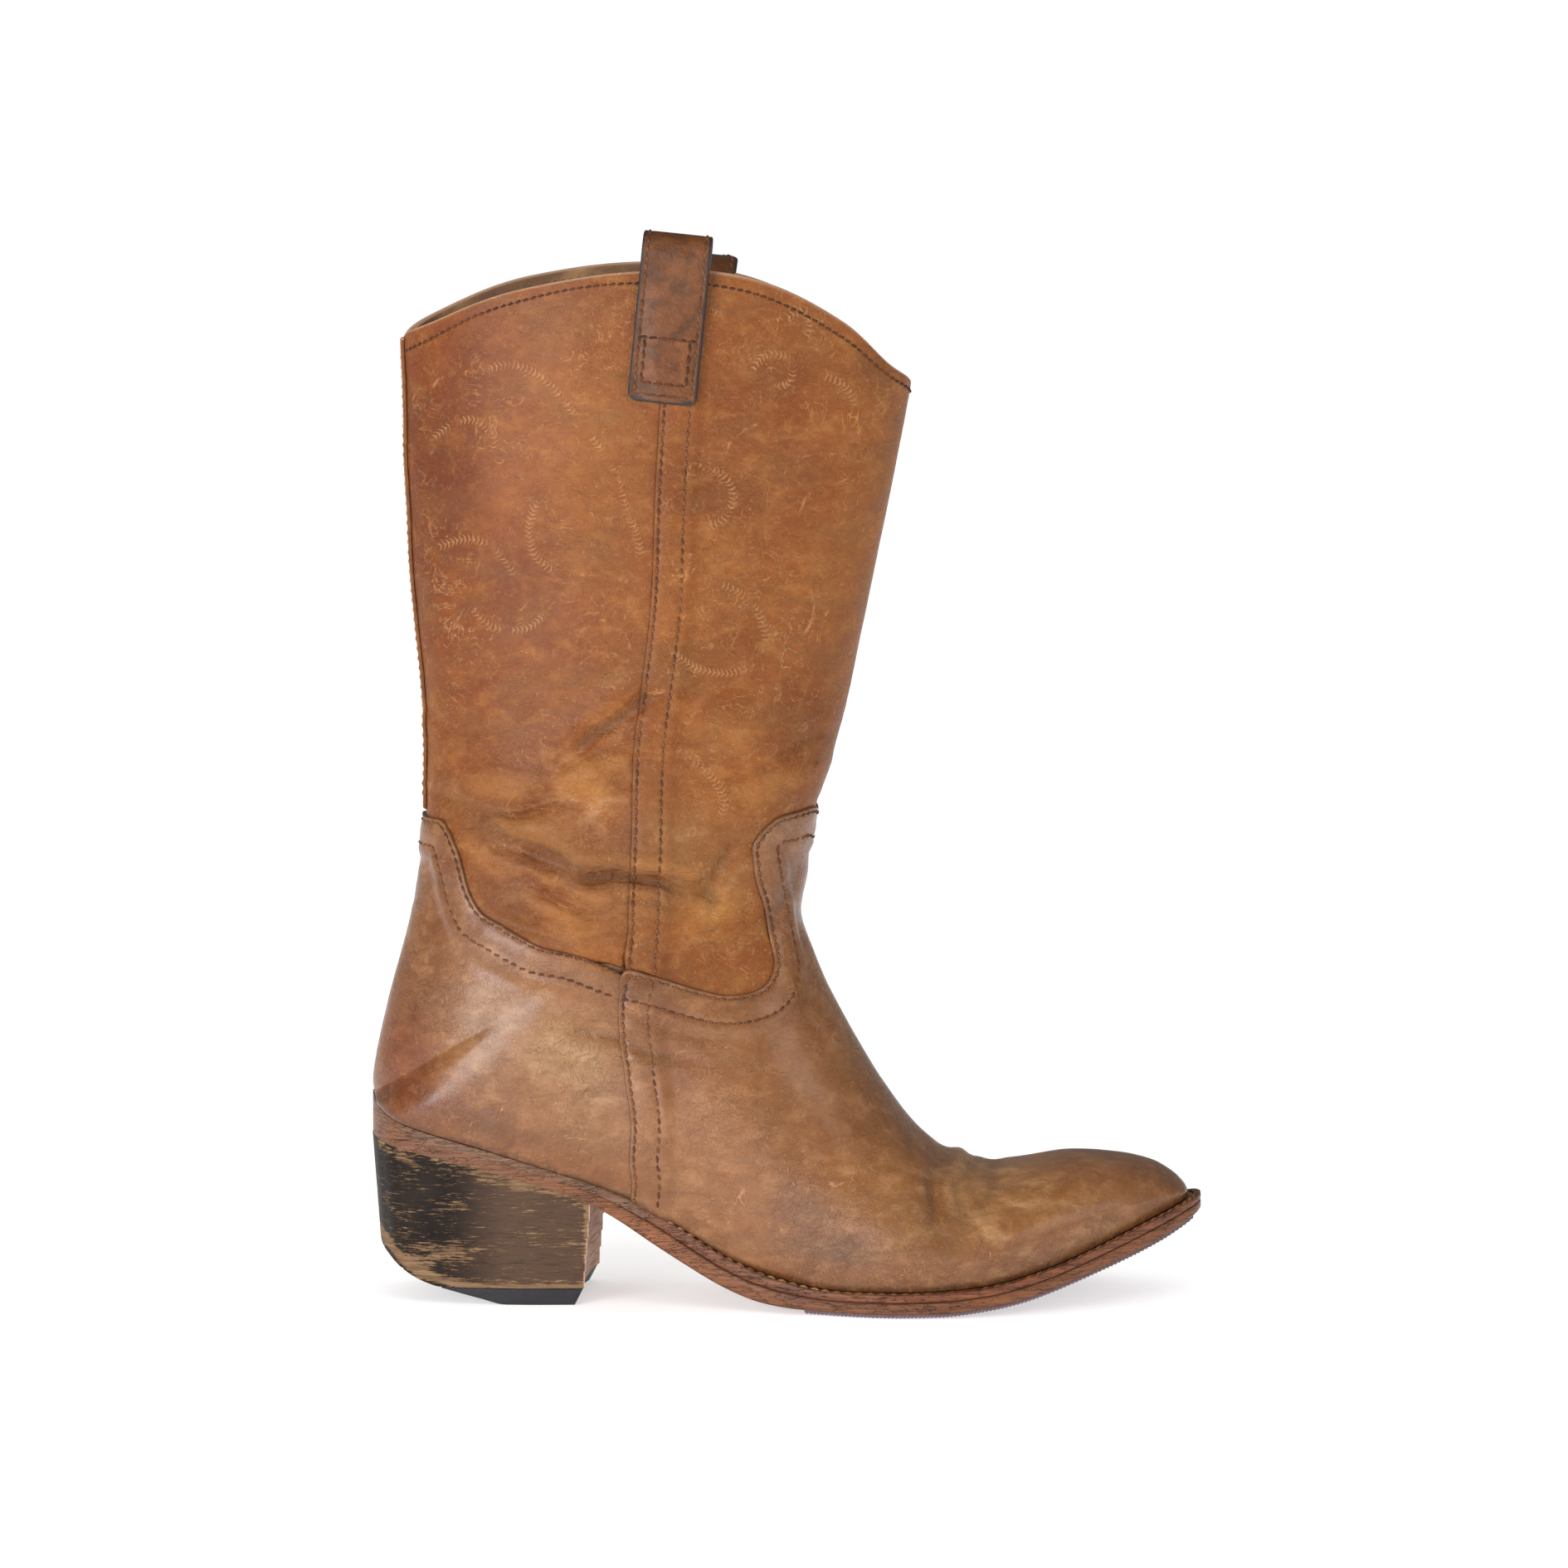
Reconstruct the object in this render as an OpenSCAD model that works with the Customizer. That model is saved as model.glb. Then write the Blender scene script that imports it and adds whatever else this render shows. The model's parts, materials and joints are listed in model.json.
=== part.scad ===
// Western boot, right foot: lined shaft, lapped vamp and counter, welted leather sole, stacked heel.
// +X points to the toe, +Z up, -Y is the outer (lateral) side. The floor is z = 0.

/* [Fit] */
// Factor on every length along the foot
length_factor = 1; // [0.9:0.01:1.1]
// Factor on every width
width_factor = 1; // [0.9:0.01:1.1]
// Height of the top line above its drawn place, added in the upper shaft
shaft_extra = 0; // [-30:1:30]

/* [Upper] */
// Thickness of the outer leather
leather_t = 1.8; // [1.2:0.1:2.4]
// Thickness of the lining leather
lining_t = 0.9; // [0.6:0.1:1.2]
// Glue line between outer leather and lining
glue_gap = 0.3; // [0.2:0.1:0.5]
// Thickness of the heel stiffener and the toe puff
stiffener_t = 1.6; // [1:0.1:2.2]
// Radius of the sewing thread
thread_r = 0.45; // [0.3:0.05:0.6]

/* [Pull straps] */
// Width of a pull strap
strap_w = 22; // [18:1:28]
// Thickness of the strap leather
strap_t = 1.9; // [1.4:0.1:2.4]
// Height of the strap's fold above the floor
strap_top = 345; // [343:1:352]
// Height of the slack inner strap's fold above the floor
slack_top = 336; // [335:0.5:340]
// Height of the strap's lower end above the floor
strap_bottom = 291; // [280:1:300]
// Forward lean of a strap from the vertical
strap_lean = 5.8; // [0:0.2:10]

/* [Sole] */
// How far the welt stands out past the upper
welt_ledge = 4.2; // [3:0.1:5]
// Share of the sole edge that is welt, the rest is outsole
welt_share = 0.4; // [0.3:0.05:0.5]
// Thickness of the insole
insole_t = 2.6; // [2:0.1:3.5]
// Thickness of the rubber half sole
half_sole_t = 1.3; // [1:0.1:1.3]

/* [Heel] */
// Thickness of the rubber top lift
top_lift_t = 5.5; // [5:0.5:8]
// Height of the stack's upper face at the breast
stack_top = 33; // [31:0.2:33]
// How much narrower the heel is at the floor, each side
heel_taper = 3.6; // [0:0.1:5]
// Slope of the worn rear half of the top lift
wear_slope = 14; // [10:1:16]
// Slope of the scuffed rear corner
corner_slope = 42; // [35:1:50]
// Radius of a heel nail
nail_r = 1.1; // [0.8:0.1:1.4]

/* [Hidden] */

// The last is drawn as stations from the toe tip (0) round the instep to the top line (22).
// Each station is a section from a ridge point on the front to the feather line or the back.
// Ridge: x, z, y
RIDGE = [[131, 33.4, 5], [129.5, 36, 5], [125.5, 39.7, 5], [118.6, 43.3, 5], [107.6, 45.6, 5],
  [91.6, 46.2, 4.5], [73.8, 43.6, 4], [57, 45, 3], [44, 53.5, 2], [32, 69.5, 1], [21, 88, 0],
  [12, 106, 0], [6.4, 124, 0], [8.1, 139, 0], [9, 150, 0], [10.5, 159, 0], [13, 166, 0],
  [17, 180, 0], [21.5, 200, 0], [26.5, 224, 0], [31.5, 248, 0], [36.5, 273, 0],
  [41.8, 300, 0], [46, 335, 0]];
// Feather line, then the back of the shaft: x, z, lateral y, medial y.
// The y values just past the heel mirror the ones before it, so that the heel ends round.
FEATHER = [[131, 31.8, 3, 7], [129.4, 31.2, -3, 13], [125.2, 29.6, -8.5, 18.5],
  [118, 26.8, -15, 25], [106.4, 22, -23, 32], [90, 15.6, -32.5, 38.5], [71.4, 10.4, -40, 41.5],
  [54.1, 8.4, -44, 41], [35, 7.7, -44.5, 36.5], [11.2, 8.5, -39.5, 28],
  [-14.3, 15.6, -32.5, 21.5], [-47, 34.4, -28.5, 22], [-85.8, 48, -30, 28],
  [-119, 57.4, -25.5, 25], [-129.6, 62, -15, 14.5], [-133, 66, 0, 0], [-132.8, 75, 15, -14.5],
  [-128.2, 96, 0, 0], [-120.6, 125, 0, 0], [-115.9, 157, 0, 0], [-116.6, 200, 0, 0],
  [-120.3, 250, 0, 0], [-121.9, 300, 0, 0], [-123.4, 345, 0, 0]];
// Widest place of each station: lateral y, medial y, share of the way from ridge to feather
GIRTH = [[3, 7, 0.6], [-3.2, 13.2, 0.6], [-9.2, 19.2, 0.62], [-16, 26, 0.64],
  [-24.2, 33.2, 0.66], [-34, 40, 0.68], [-42, 43.5, 0.7], [-46, 43.5, 0.7],
  [-46.5, 40.5, 0.7], [-43.5, 36, 0.66], [-40.5, 34, 0.62], [-38.5, 34, 0.57],
  [-36, 33.5, 0.55], [-35.2, 33.5, 0.53], [-35, 33.8, 0.52], [-34.8, 34, 0.51],
  [-34.8, 34.3, 0.5], [-34.5, 34, 0.5], [-34, 33.5, 0.5], [-33.5, 33, 0.5],
  [-33, 32.5, 0.5], [-32.5, 32, 0.5], [-32, 32, 0.5], [-31.5, 31.5, 0.5]];
heel_station = 15;

// Panel edges as place across the panel (0 at the ridge, 1 at the feather), station and arc place,
// where the arc place is 0 at the ridge and 1 at the feather line or back
VAMP_EDGE = [[0, 14.9, 0], [0.06, 15.6, 0.125], [0.1, 16.1, 0.208], [0.13, 15.8, 0.248],
  [0.165, 14.5, 0.234], [0.19, 13.4, 0.219], [0.215, 12.4, 0.2], [0.24, 11.8, 0.208],
  [0.27, 11.6, 0.258], [0.31, 11.85, 0.325], [0.345, 12.35, 0.37], [0.38, 13, 0.408],
  [0.42, 13.7, 0.441], [0.48, 13.1, 0.459], [0.56, 12.45, 0.496], [0.65, 11.95, 0.55],
  [0.74, 11.53, 0.635], [0.83, 11.27, 0.747], [0.91, 11.11, 0.84], [1, 11.01, 1]];
// Second stitch row of the vamp, a lap's width inside its edge
VAMP_ROW = [[0, 14.3, 0], [0.06, 14.9, 0.112], [0.1, 15.3, 0.172], [0.13, 15, 0.2],
  [0.165, 14.1, 0.199], [0.19, 13.1, 0.183], [0.215, 12.1, 0.156], [0.24, 11.4, 0.184],
  [0.27, 11.2, 0.258], [0.31, 11.4, 0.33], [0.345, 11.8, 0.383], [0.38, 12.3, 0.419],
  [0.42, 12.9, 0.449], [0.48, 12.5, 0.47], [0.56, 11.9, 0.513], [0.65, 11.4, 0.575],
  [0.74, 11.03, 0.656], [0.83, 10.78, 0.757], [0.91, 10.66, 0.85], [1, 10.61, 1]];
SEAM_LOW = [[13.7, 0.441], [13.1, 0.459], [12.45, 0.496], [11.95, 0.55], [11.53, 0.635],
  [11.27, 0.747], [11.11, 0.84], [11.01, 1]];
seam_foot = SEAM_LOW[len(SEAM_LOW) - 1];
SEAM_STATION = concat([[0, 13.3], [0.3, 13.5]], [for (p = SEAM_LOW) [p[1], p[0]]]);
TONGUE = [for (e = VAMP_EDGE) if (e[0] < 0.41) [e[1], e[2]]];
COUNTER_TOP = [[13.7, 0.442], [15.7, 0.513], [16.6, 0.588], [17.2, 0.653], [17.6, 0.711],
  [17.95, 0.748], [18.2, 0.767], [18.5, 0.795], [18.75, 0.827], [18.9, 0.87], [19, 1]];
// Side seam above the counter: station, arc place
SEAM_HIGH = [[13.7, 0.441], [15, 0.44], [17, 0.467], [18.2, 0.495], [18.9, 0.505],
  [20.3, 0.494], [22.7, 0.491]];
// Scalloped top line: arc place, lateral station, medial station
TOP_LINE = [[0, 21.87, 21.87], [0.13, 22.06, 21.99], [0.25, 22.42, 22.32], [0.4, 22.75, 22.67],
  [0.55, 22.75, 22.75], [0.7, 22.56, 22.6], [0.85, 22.32, 22.36], [1, 22.2, 22.2]];
// Underside of the outsole: x, z
TREAD = [[-134, 52.6], [-119, 49.5], [-96.5, 44.5], [-74.5, 38.5], [-62.7, 34], [-52.7, 28.3],
  [-41.7, 21], [-30.8, 14.3], [-19.8, 8.2], [-8.9, 3.9], [2, 2.1], [17, 1.45], [30, 1.3],
  [43, 1.45], [57, 2], [77.3, 5.2], [98, 12], [120.8, 20.8], [135, 28]];

tip = 0.02;
inner = leather_t + glue_gap;
foot_inner = inner + stiffener_t + glue_gap;
vamp_base = 10.4;
vamp_body = 0.6;
vamp_row = 0.85;
seam_v = 0.491;
seam_lap_v = 0.045;
seam_lap_t = 0.3;
tongue_lap_t = 0.25;
strip_v = 0.042;
strip_t = 1.3;
lap_t = leather_t + 0.05;
thin_gap = 0.05;
heel_ledge = 0.5;
welt_inset = 5;
foot_clear = foot_inner + lining_t + 1;
sock_t = 1.2;
shank_w = 14;
shank_t = 1.4;
breast_station = 11.37;
breast_lean = 0.065;
wear_x = -88;
corner_x = -111;
nail_low = 12;
breast_hollow = 1.6;
lifts = 5;
lift_t = (stack_top - top_lift_t) / lifts;
NAILS = [[-118, 0], [-104, -17], [-104, 17], [-80, -18], [-80, 17]];

function clamp(x, low, high) = min(max(x, low), high);
function mix(a, b, s) = a + (b - a) * s;
function ease(x, from, to) = let(s = clamp((x - from) / (to - from), 0, 1)) s * s * (3 - 2 * s);
function steps(from, to, count) = [for (i = [0:count]) mix(from, to, i / count)];

// Smooth curve through evenly numbered points
function at(list, t) =
  let(n = len(list) - 1, i = clamp(floor(t), 0, n - 1), f = t - i,
      a = list[max(i - 1, 0)], b = list[i], c = list[i + 1], d = list[min(i + 2, n)])
  b + 0.5 * f * ((c - a) + f * ((2 * a - 5 * b + 4 * c - d) + f * (3 * b - a - 3 * c + d)));
function along(list, s) = at(list, s * (len(list) - 1));

// Smooth graph through [x, y] points with rising x
function segment(table, x, i = 0) =
  i >= len(table) - 2 || x < table[i + 1][0] ? i : segment(table, x, i + 1);
function slope(table, i) =
  let(a = table[max(i - 1, 0)], b = table[min(i + 1, len(table) - 1)]) (b[1] - a[1]) / (b[0] - a[0]);
function graph(table, x) =
  let(i = segment(table, x), a = table[i], b = table[i + 1], w = b[0] - a[0],
      s = clamp((x - a[0]) / w, 0, 1), p = slope(table, i) * w, q = slope(table, i + 1) * w,
      over = x - a[0] - s * w)
  a[1] + s * (p + s * (3 * (b[1] - a[1]) - 2 * p - q + s * (p + q - 2 * (b[1] - a[1]))))
    + over * (over > 0 ? q : p) / w;

SEAT = [for (i = [heel_station:-1:0]) [FEATHER[i][0], FEATHER[i][1]]];
function seat(x) = graph(SEAT, x);
function tread(x) = graph(TREAD, x);
function sole_split(x) = mix(seat(x), tread(x), welt_share);

// A point on the outside of the upper; v < 0 is the lateral side
function last_point(t, v) =
  let(r = at(RIDGE, t), f = at(FEATHER, t), g = at(GIRTH, t), k = v < 0 ? 0 : 1, q = min(abs(v), 1),
      end = t >= heel_station ? 0 : f[2 + k], a = 180 * q,
      s = q < 0.5 ? g[2] * (1 - cos(a)) : g[2] + (1 - g[2]) * sin(a - 90),
      y = q < 0.5 ? r[2] + (g[k] - r[2]) * sin(a) : end + (g[k] - end) * cos(a - 90))
  [(r[0] + (f[0] - r[0]) * s) * length_factor, y * width_factor,
    r[1] + (f[1] - r[1]) * s + shaft_extra * ease(t, 18, 22)];

function outward(t, v) =
  let(h = 0.02, side = v < 0 ? -1 : 1, q = clamp(abs(v), 0, 1 - h),
      dt = last_point(min(t + h, 23), side * q) - last_point(max(t - h, 0), side * q),
      dv = last_point(t, side * (q + h)) - last_point(t, side * max(q - h, 0)),
      n = cross(dv, dt) * side, centred = q < 0.01 ? [n[0], 0, n[2]] : n,
      back = abs(v) > 0.999 && t >= heel_station ? [n[0], 0, n[2]] : centred)
  back / norm(back);
function skin(t, v, depth) = last_point(t, v) - outward(t, v) * depth;

// Closed sheet of leather: place maps (w, r) to station and arc, top and under give its depths
module sheet(ws, rs, place, top, under) {
  nw = len(ws);
  nr = len(rs);
  points = [for (layer = [0, 1], r = rs, w = ws)
    let(p = place(w, r)) skin(p[0], p[1], layer == 0 ? top(w, r) : under(w, r))];
  base = nw * nr;
  function id(layer, j, i) = layer * base + j * nw + i;
  function quad(a, b, c, d) = [[a, b, c], [a, c, d]];
  faces = [
    for (j = [0:nr - 2], i = [0:nw - 2])
      each quad(id(0, j, i), id(0, j + 1, i), id(0, j + 1, i + 1), id(0, j, i + 1)),
    for (j = [0:nr - 2], i = [0:nw - 2])
      each quad(id(1, j, i), id(1, j, i + 1), id(1, j + 1, i + 1), id(1, j + 1, i)),
    for (i = [0:nw - 2]) each quad(id(0, 0, i), id(0, 0, i + 1), id(1, 0, i + 1), id(1, 0, i)),
    for (i = [0:nw - 2])
      each quad(id(0, nr - 1, i + 1), id(0, nr - 1, i), id(1, nr - 1, i), id(1, nr - 1, i + 1)),
    for (j = [0:nr - 2]) each quad(id(0, j + 1, 0), id(0, j, 0), id(1, j, 0), id(1, j + 1, 0)),
    for (j = [0:nr - 2])
      each quad(id(0, j, nw - 1), id(0, j + 1, nw - 1), id(1, j + 1, nw - 1), id(1, j, nw - 1))];
  polyhedron(points, faces, 8);
}

// Closed bar through rings of equal size
module bar(rings) {
  n = len(rings[0]);
  last = len(rings) - 1;
  faces = [
    [for (i = [n - 1:-1:0]) i],
    for (j = [0:last - 1], i = [0:n - 1])
      each [[j * n + i, j * n + (i + 1) % n, (j + 1) * n + (i + 1) % n],
        [j * n + i, (j + 1) * n + (i + 1) % n, (j + 1) * n + i]],
    [for (i = [0:n - 1]) last * n + i]];
  polyhedron([for (ring = rings) each ring], faces, 8);
}

// Sole outline: the feather line grown sideways, side -1 lateral, 1 medial
function outline(t, side, grow) =
  let(h = 0.05, k = side < 0 ? 2 : 3, a = at(FEATHER, max(t - h, 0)),
      b = at(FEATHER, min(t + h, heel_station)),
      p = at(FEATHER, t), d = [b[0] - a[0], b[k] - a[k]],
      n = t > heel_station - 0.01 ? [-1, 0] : [d[1], -d[0]] * side / norm(d))
  [(p[0] + n[0] * grow) * length_factor, (p[k] + n[1] * grow) * width_factor];
function lift_to(p, z) = [p[0], p[1], z];

function slab(a, b, top, bottom) = [lift_to(a, top(a[0] / length_factor)),
  lift_to(b, top(b[0] / length_factor)), lift_to(b, bottom(b[0] / length_factor)),
  lift_to(a, bottom(a[0] / length_factor))];

// How far the sole stands out past the upper at a station
function ledge(t) = mix(welt_ledge, heel_ledge, ease(t, 9.3, 11.3));

// Plate under the foot between two graphs of height
module plate(ts, grow, top, bottom) {
  bar([for (t = ts) slab(outline(t, 1, grow(t)), outline(t, -1, grow(t)), top, bottom)]);
}
// Strip along the outline; each stop is [side, station]
module edge_strip(stops, inset, top, bottom) {
  bar([for (s = stops)
    slab(outline(s[1], s[0], ledge(s[1])), outline(s[1], s[0], -inset), top, bottom)]);
}
// Sewing thread through a list of points
module thread(points) {
  n = len(points) - 1;
  bar([for (i = [0:n])
    let(d = points[min(i + 1, n)] - points[max(i - 1, 0)], u = d / norm(d),
        side = cross(u, [0, 0.3, 1]), a = side / norm(side), b = cross(a, u))
      [for (k = [0:3]) points[i] + thread_r * (a * cos(90 * k + 45) + b * sin(90 * k + 45))]]);
}

function sign_of(w) = w < 0 ? -1 : 1;

// Where panels lie on the last; w runs round the boot, r from the low edge to the high edge
function edge_place(table, w) = [for (k = [1, 2]) graph([for (e = table) [e[0], e[k]]], abs(w))];
// Rows up to vamp_body cover the foot, then come the stretch to the second stitch row and the lap
function vamp_place(w, r) =
  let(base = [vamp_base, abs(w)], row = edge_place(VAMP_ROW, w), edge = edge_place(VAMP_EDGE, w),
      p = r < vamp_body ? [mix(tip, vamp_base, r / vamp_body), abs(w)]
        : r < vamp_row ? mix(base, row, (r - vamp_body) / (vamp_row - vamp_body))
        : mix(row, edge, (r - vamp_row) / (1 - vamp_row)))
  [p[0], sign_of(w) * p[1]];
function counter_place(w, r) =
  let(s = 1 - abs(w), e = along(COUNTER_TOP, s), seam = along(SEAM_LOW, 1 - r),
      t = mix(mix(seam_foot[0], heel_station, s), e[0], r), v = mix(1, e[1], r), k = pow(abs(w), 12),
      line = mix(seam_foot, COUNTER_TOP[0], r))
  [t + k * (seam[0] - line[0] - seam_lap_t), sign_of(w) * (v + k * (seam[1] - line[1]))];
function top_station(v) = graph([for (p = TOP_LINE) [p[0], v < 0 ? p[1] : p[2]]], abs(v));
function seam_arc(t) = graph(SEAM_HIGH, t);
function shaft_front_place(w, r) =
  let(low = along(TONGUE, abs(w)), t0 = low[0] - mix(tongue_lap_t, 0, ease(abs(w), 0.85, 0.95)),
      t = mix(t0, top_station(w * seam_v), r))
  [t, sign_of(w) * mix(low[1], abs(w) * seam_arc(t), ease(r, 0, 0.25))];
function shaft_back_place(w, r) =
  let(s = 1 - abs(w), low = along(COUNTER_TOP, s), t0 = low[0] - mix(0, 0.3, ease(s, 0.02, 0.1)),
      t = mix(t0, top_station(mix(1, seam_v, abs(w))), r),
      v = mix(1, seam_arc(t) - seam_lap_v, abs(w)))
  [t, sign_of(w) * mix(low[1], v, ease(r, 0, 0.3))];

// Laps: the vamp and the counter rise over the shaft, the front half over the back half
function vamp_rise(w, r) = r < vamp_row + 0.01 ? 0 : 1;
function counter_rise(w, r) = r > 0.89 && abs(w) < 0.9 ? 1 : 0;
function front_rise(w, r) = abs(w) > 0.88 ? 1 : 0;

module shaft_front() color("peru") {
  sheet(concat([-1], steps(-0.9, -0.82, 1), steps(-0.75, 0.75, 16), steps(0.82, 0.9, 1), [1]),
    steps(0, 1, 13), function(w, r) shaft_front_place(w, r),
    function(w, r) -front_rise(w, r) * lap_t, function(w, r) leather_t - front_rise(w, r) * lap_t);
}
module shaft_back() color("peru") {
  sheet(steps(1, -1, 22), steps(0, 1, 12), function(w, r) shaft_back_place(w, r),
    function(w, r) 0, function(w, r) leather_t);
}
module back_strip() color("tan") {
  sheet([1, 0.5, 0, -0.5, -1], steps(0, 1, 10),
    function(w, r) [mix(19.02, top_station(1), r), sign_of(w) * (1 - strip_v * abs(w))],
    function(w, r) -strip_t, function(w, r) -thin_gap);
}
module vamp() color("sienna") {
  half = concat([0.05], [for (e = VAMP_EDGE) if (e[0] > 0.07) e[0]]);
  sheet(concat([for (i = [len(half) - 1:-1:0]) -half[i]], [0], half),
    concat(steps(0, vamp_body, 11), [0.68, 0.77, vamp_row, vamp_row + 0.03, 1]),
    function(w, r) vamp_place(w, r), function(w, r) -vamp_rise(w, r) * lap_t,
    function(w, r) leather_t - vamp_rise(w, r) * lap_t);
}
module counter() color("sienna") {
  sheet(steps(1, -1, 24), concat(steps(0, 0.86, 6), [0.9, 1]), function(w, r) counter_place(w, r),
    function(w, r) -counter_rise(w, r) * lap_t, function(w, r) leather_t - counter_rise(w, r) * lap_t);
}

// Linings and stiffeners inside the upper
function puff_depth(r) = mix(foot_inner, inner, ease(r, 0.33, 0.45));
function heel_depth(r) = mix(foot_inner, inner, ease(r, 0.82, 0.95));
module shaft_lining_front() color("wheat") {
  sheet(steps(-1, 1, 16), steps(0, 1, 8),
    function(w, r) [mix(13.3 + 0.4 * w * w, top_station(w * seam_v), r), w * seam_v],
    function(w, r) inner, function(w, r) inner + lining_t);
}
module shaft_lining_back() color("wheat") {
  sheet(steps(1, -1, 18), steps(0, 1, 8),
    function(w, r) let(p = shaft_back_place(w, r), low = along(COUNTER_TOP, 1 - abs(w)))
      [mix(low[0] + 0.1, p[0], ease(r, -0.5, 1)), sign_of(w) * max(abs(p[1]), seam_v + 0.002)],
    function(w, r) inner, function(w, r) inner + lining_t);
}
module vamp_lining() color("wheat") {
  sheet(steps(-1, 1, 22), steps(0, 1, 13),
    function(w, r) [mix(0.3, graph(SEAM_STATION, abs(w)) - 0.1, r), w],
    function(w, r) puff_depth(r), function(w, r) puff_depth(r) + lining_t);
}
module heel_lining() color("burlywood") {
  sheet(steps(0.97, -0.97, 18), steps(0, 0.97, 6), function(w, r) counter_place(w, r),
    function(w, r) heel_depth(r), function(w, r) heel_depth(r) + lining_t);
}
module heel_stiffener() color("saddlebrown") {
  sheet(steps(0.8, -0.8, 16), steps(0, 0.8, 5), function(w, r) counter_place(w, r),
    function(w, r) inner, function(w, r) inner + stiffener_t);
}
module toe_puff() color("saddlebrown") {
  sheet(steps(-1, 1, 16), steps(0, 1, 6), function(w, r) [mix(0.2, 4.4, r), w],
    function(w, r) inner, function(w, r) inner + stiffener_t);
}

// Pull strap: one folded strip, sewn outside and inside the shaft; side -1 lateral, 1 medial.
// Its path is given as distance inwards and height; the medial one is slack and leans outwards.
STRAP_PATH = [[0, 0], [0, 14], [0, 28], [0, 43], [-0.4, 46], [-0.5, 49], [0.4, 52.6], [3.5, 54],
  [6.6, 52.6], [7.6, 49], [7.5, 46], [7.1, 43], [7.1, 28], [7.1, 14], [7.1, 4]];
SLACK_PATH = [[0, 0], [0, 14], [-0.4, 25], [-2, 33], [-4.6, 39.5], [-6.6, 45], [-7, 50],
  [-4.6, 53.4], [0.5, 54], [5, 52.4], [7.2, 48.5], [7.3, 45], [7.1, 41], [7.1, 28], [7.1, 14],
  [7.1, 4]];
strap_y = -35.2;
strap_x = -34.9;
lean_z = 318;
function strap_line(path, top) = [for (s = steps(0, 1, 42))
  let(p = along(path, s)) [p[0] + strap_y, strap_bottom + p[1] * (top - strap_t / 2 - strap_bottom) / 54]];
function line_of(side) = side < 0 ? strap_line(STRAP_PATH, strap_top) : strap_line(SLACK_PATH, slack_top);
function beside(line, i, d) =
  let(a = line[max(i - 1, 0)], b = line[min(i + 1, len(line) - 1)], u = (b - a) / norm(b - a))
  line[i] + d * [u[1], -u[0]];
module strap_frame(side)
  translate([strap_x * length_factor, 0, lean_z])
    rotate([0, strap_lean, 0])
      translate([0, 0, -lean_z])
        mirror([0, side < 0 ? 0 : 1, 0])
          children();
module pull_strap(side) {
  line = line_of(side);
  n = len(line) - 1;
  strap_frame(side)
    translate([strap_w / 2, 0, 0])
      rotate([90, 0, -90])
        linear_extrude(strap_w)
          mirror([1, 0])
            polygon(concat([for (i = [0:n]) beside(line, i, strap_t / 2)],
              [for (i = [n:-1:0]) beside(line, i, -strap_t / 2)]));
}
module pull_strap_lateral() color("saddlebrown") pull_strap(-1);
module pull_strap_medial() color("saddlebrown") pull_strap(1);

// Under the foot
module insole() color("burlywood")
  plate(steps(0.4, 14.6, 30), function(t) -foot_clear, function(x) seat(x) + insole_t, function(x) seat(x));
module heel_sock() color("tan")
  plate(steps(11.6, 14.5, 12), function(t) -foot_clear - 0.6, function(x) seat(x) + insole_t + sock_t,
    function(x) seat(x) + insole_t);
module cork_filler() color("peru")
  plate(steps(0.6, 9.85, 20), function(t) -welt_inset - 0.5, function(x) seat(x) - thin_gap,
    function(x) sole_split(x) + thin_gap);
module shank_cover() color("tan")
  plate(steps(9.95, 14.4, 16), function(t) -welt_inset - 0.5, function(x) seat(x) - thin_gap,
    function(x) sole_split(x) + shank_t + thin_gap);
module shank() color("silver")
  bar([for (x = steps(-98, -16, 16))
    let(z = sole_split(x))
      [[x * length_factor, -shank_w / 2, z + shank_t], [x * length_factor, shank_w / 2, z + shank_t],
        [x * length_factor, shank_w / 2, z + thin_gap], [x * length_factor, -shank_w / 2, z + thin_gap]]]);
module welt() color("saddlebrown")
  edge_strip(concat([for (t = steps(10.9, 0, 34)) [-1, t]], [for (t = steps(0, 10.9, 34)) [1, t]]),
    welt_inset, function(x) seat(x), function(x) sole_split(x));
module heel_rand() color("rosybrown")
  edge_strip(concat([for (t = steps(10.95, 14.8, 14)) [1, t]], [for (t = steps(14.8, 10.95, 14)) [-1, t]]),
    welt_inset, function(x) seat(x), function(x) sole_split(x));
module outsole() color("saddlebrown")
  difference() {
    plate(concat(steps(0, 14.8, 44), [heel_station]), function(t) ledge(t), function(x) sole_split(x),
      function(x) tread(x));
    nail_rods(0);
  }
module half_sole() color("dimgray")
  plate(steps(0.9, 9.1, 24), function(t) welt_ledge - 1.2, function(x) tread(x),
    function(x) tread(x) - half_sole_t);

// Heel: its outline at a height, from the breast round the back
function heel_grow(z) = heel_ledge - heel_taper * (1 - z / 50);
function heel_outline(z) =
  let(grow = heel_grow(z), breast = breast_station + breast_lean * (1 - z / stack_top),
      a = outline(breast, -1, grow), b = outline(breast, 1, grow))
  concat([for (t = steps(breast, 14.8, 12)) outline(t, -1, grow)],
    [outline(heel_station, 1, grow)],
    [for (t = steps(14.8, breast, 12)) outline(t, 1, grow)],
    [for (s = [0.75, 0.5, 0.25]) mix(a, b, s) - [breast_hollow * sin(180 * s), 0]]);
module lift_slab(low, high)
  translate([0, 0, low])
    linear_extrude(high - low)
      polygon(heel_outline((low + high) / 2));
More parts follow.
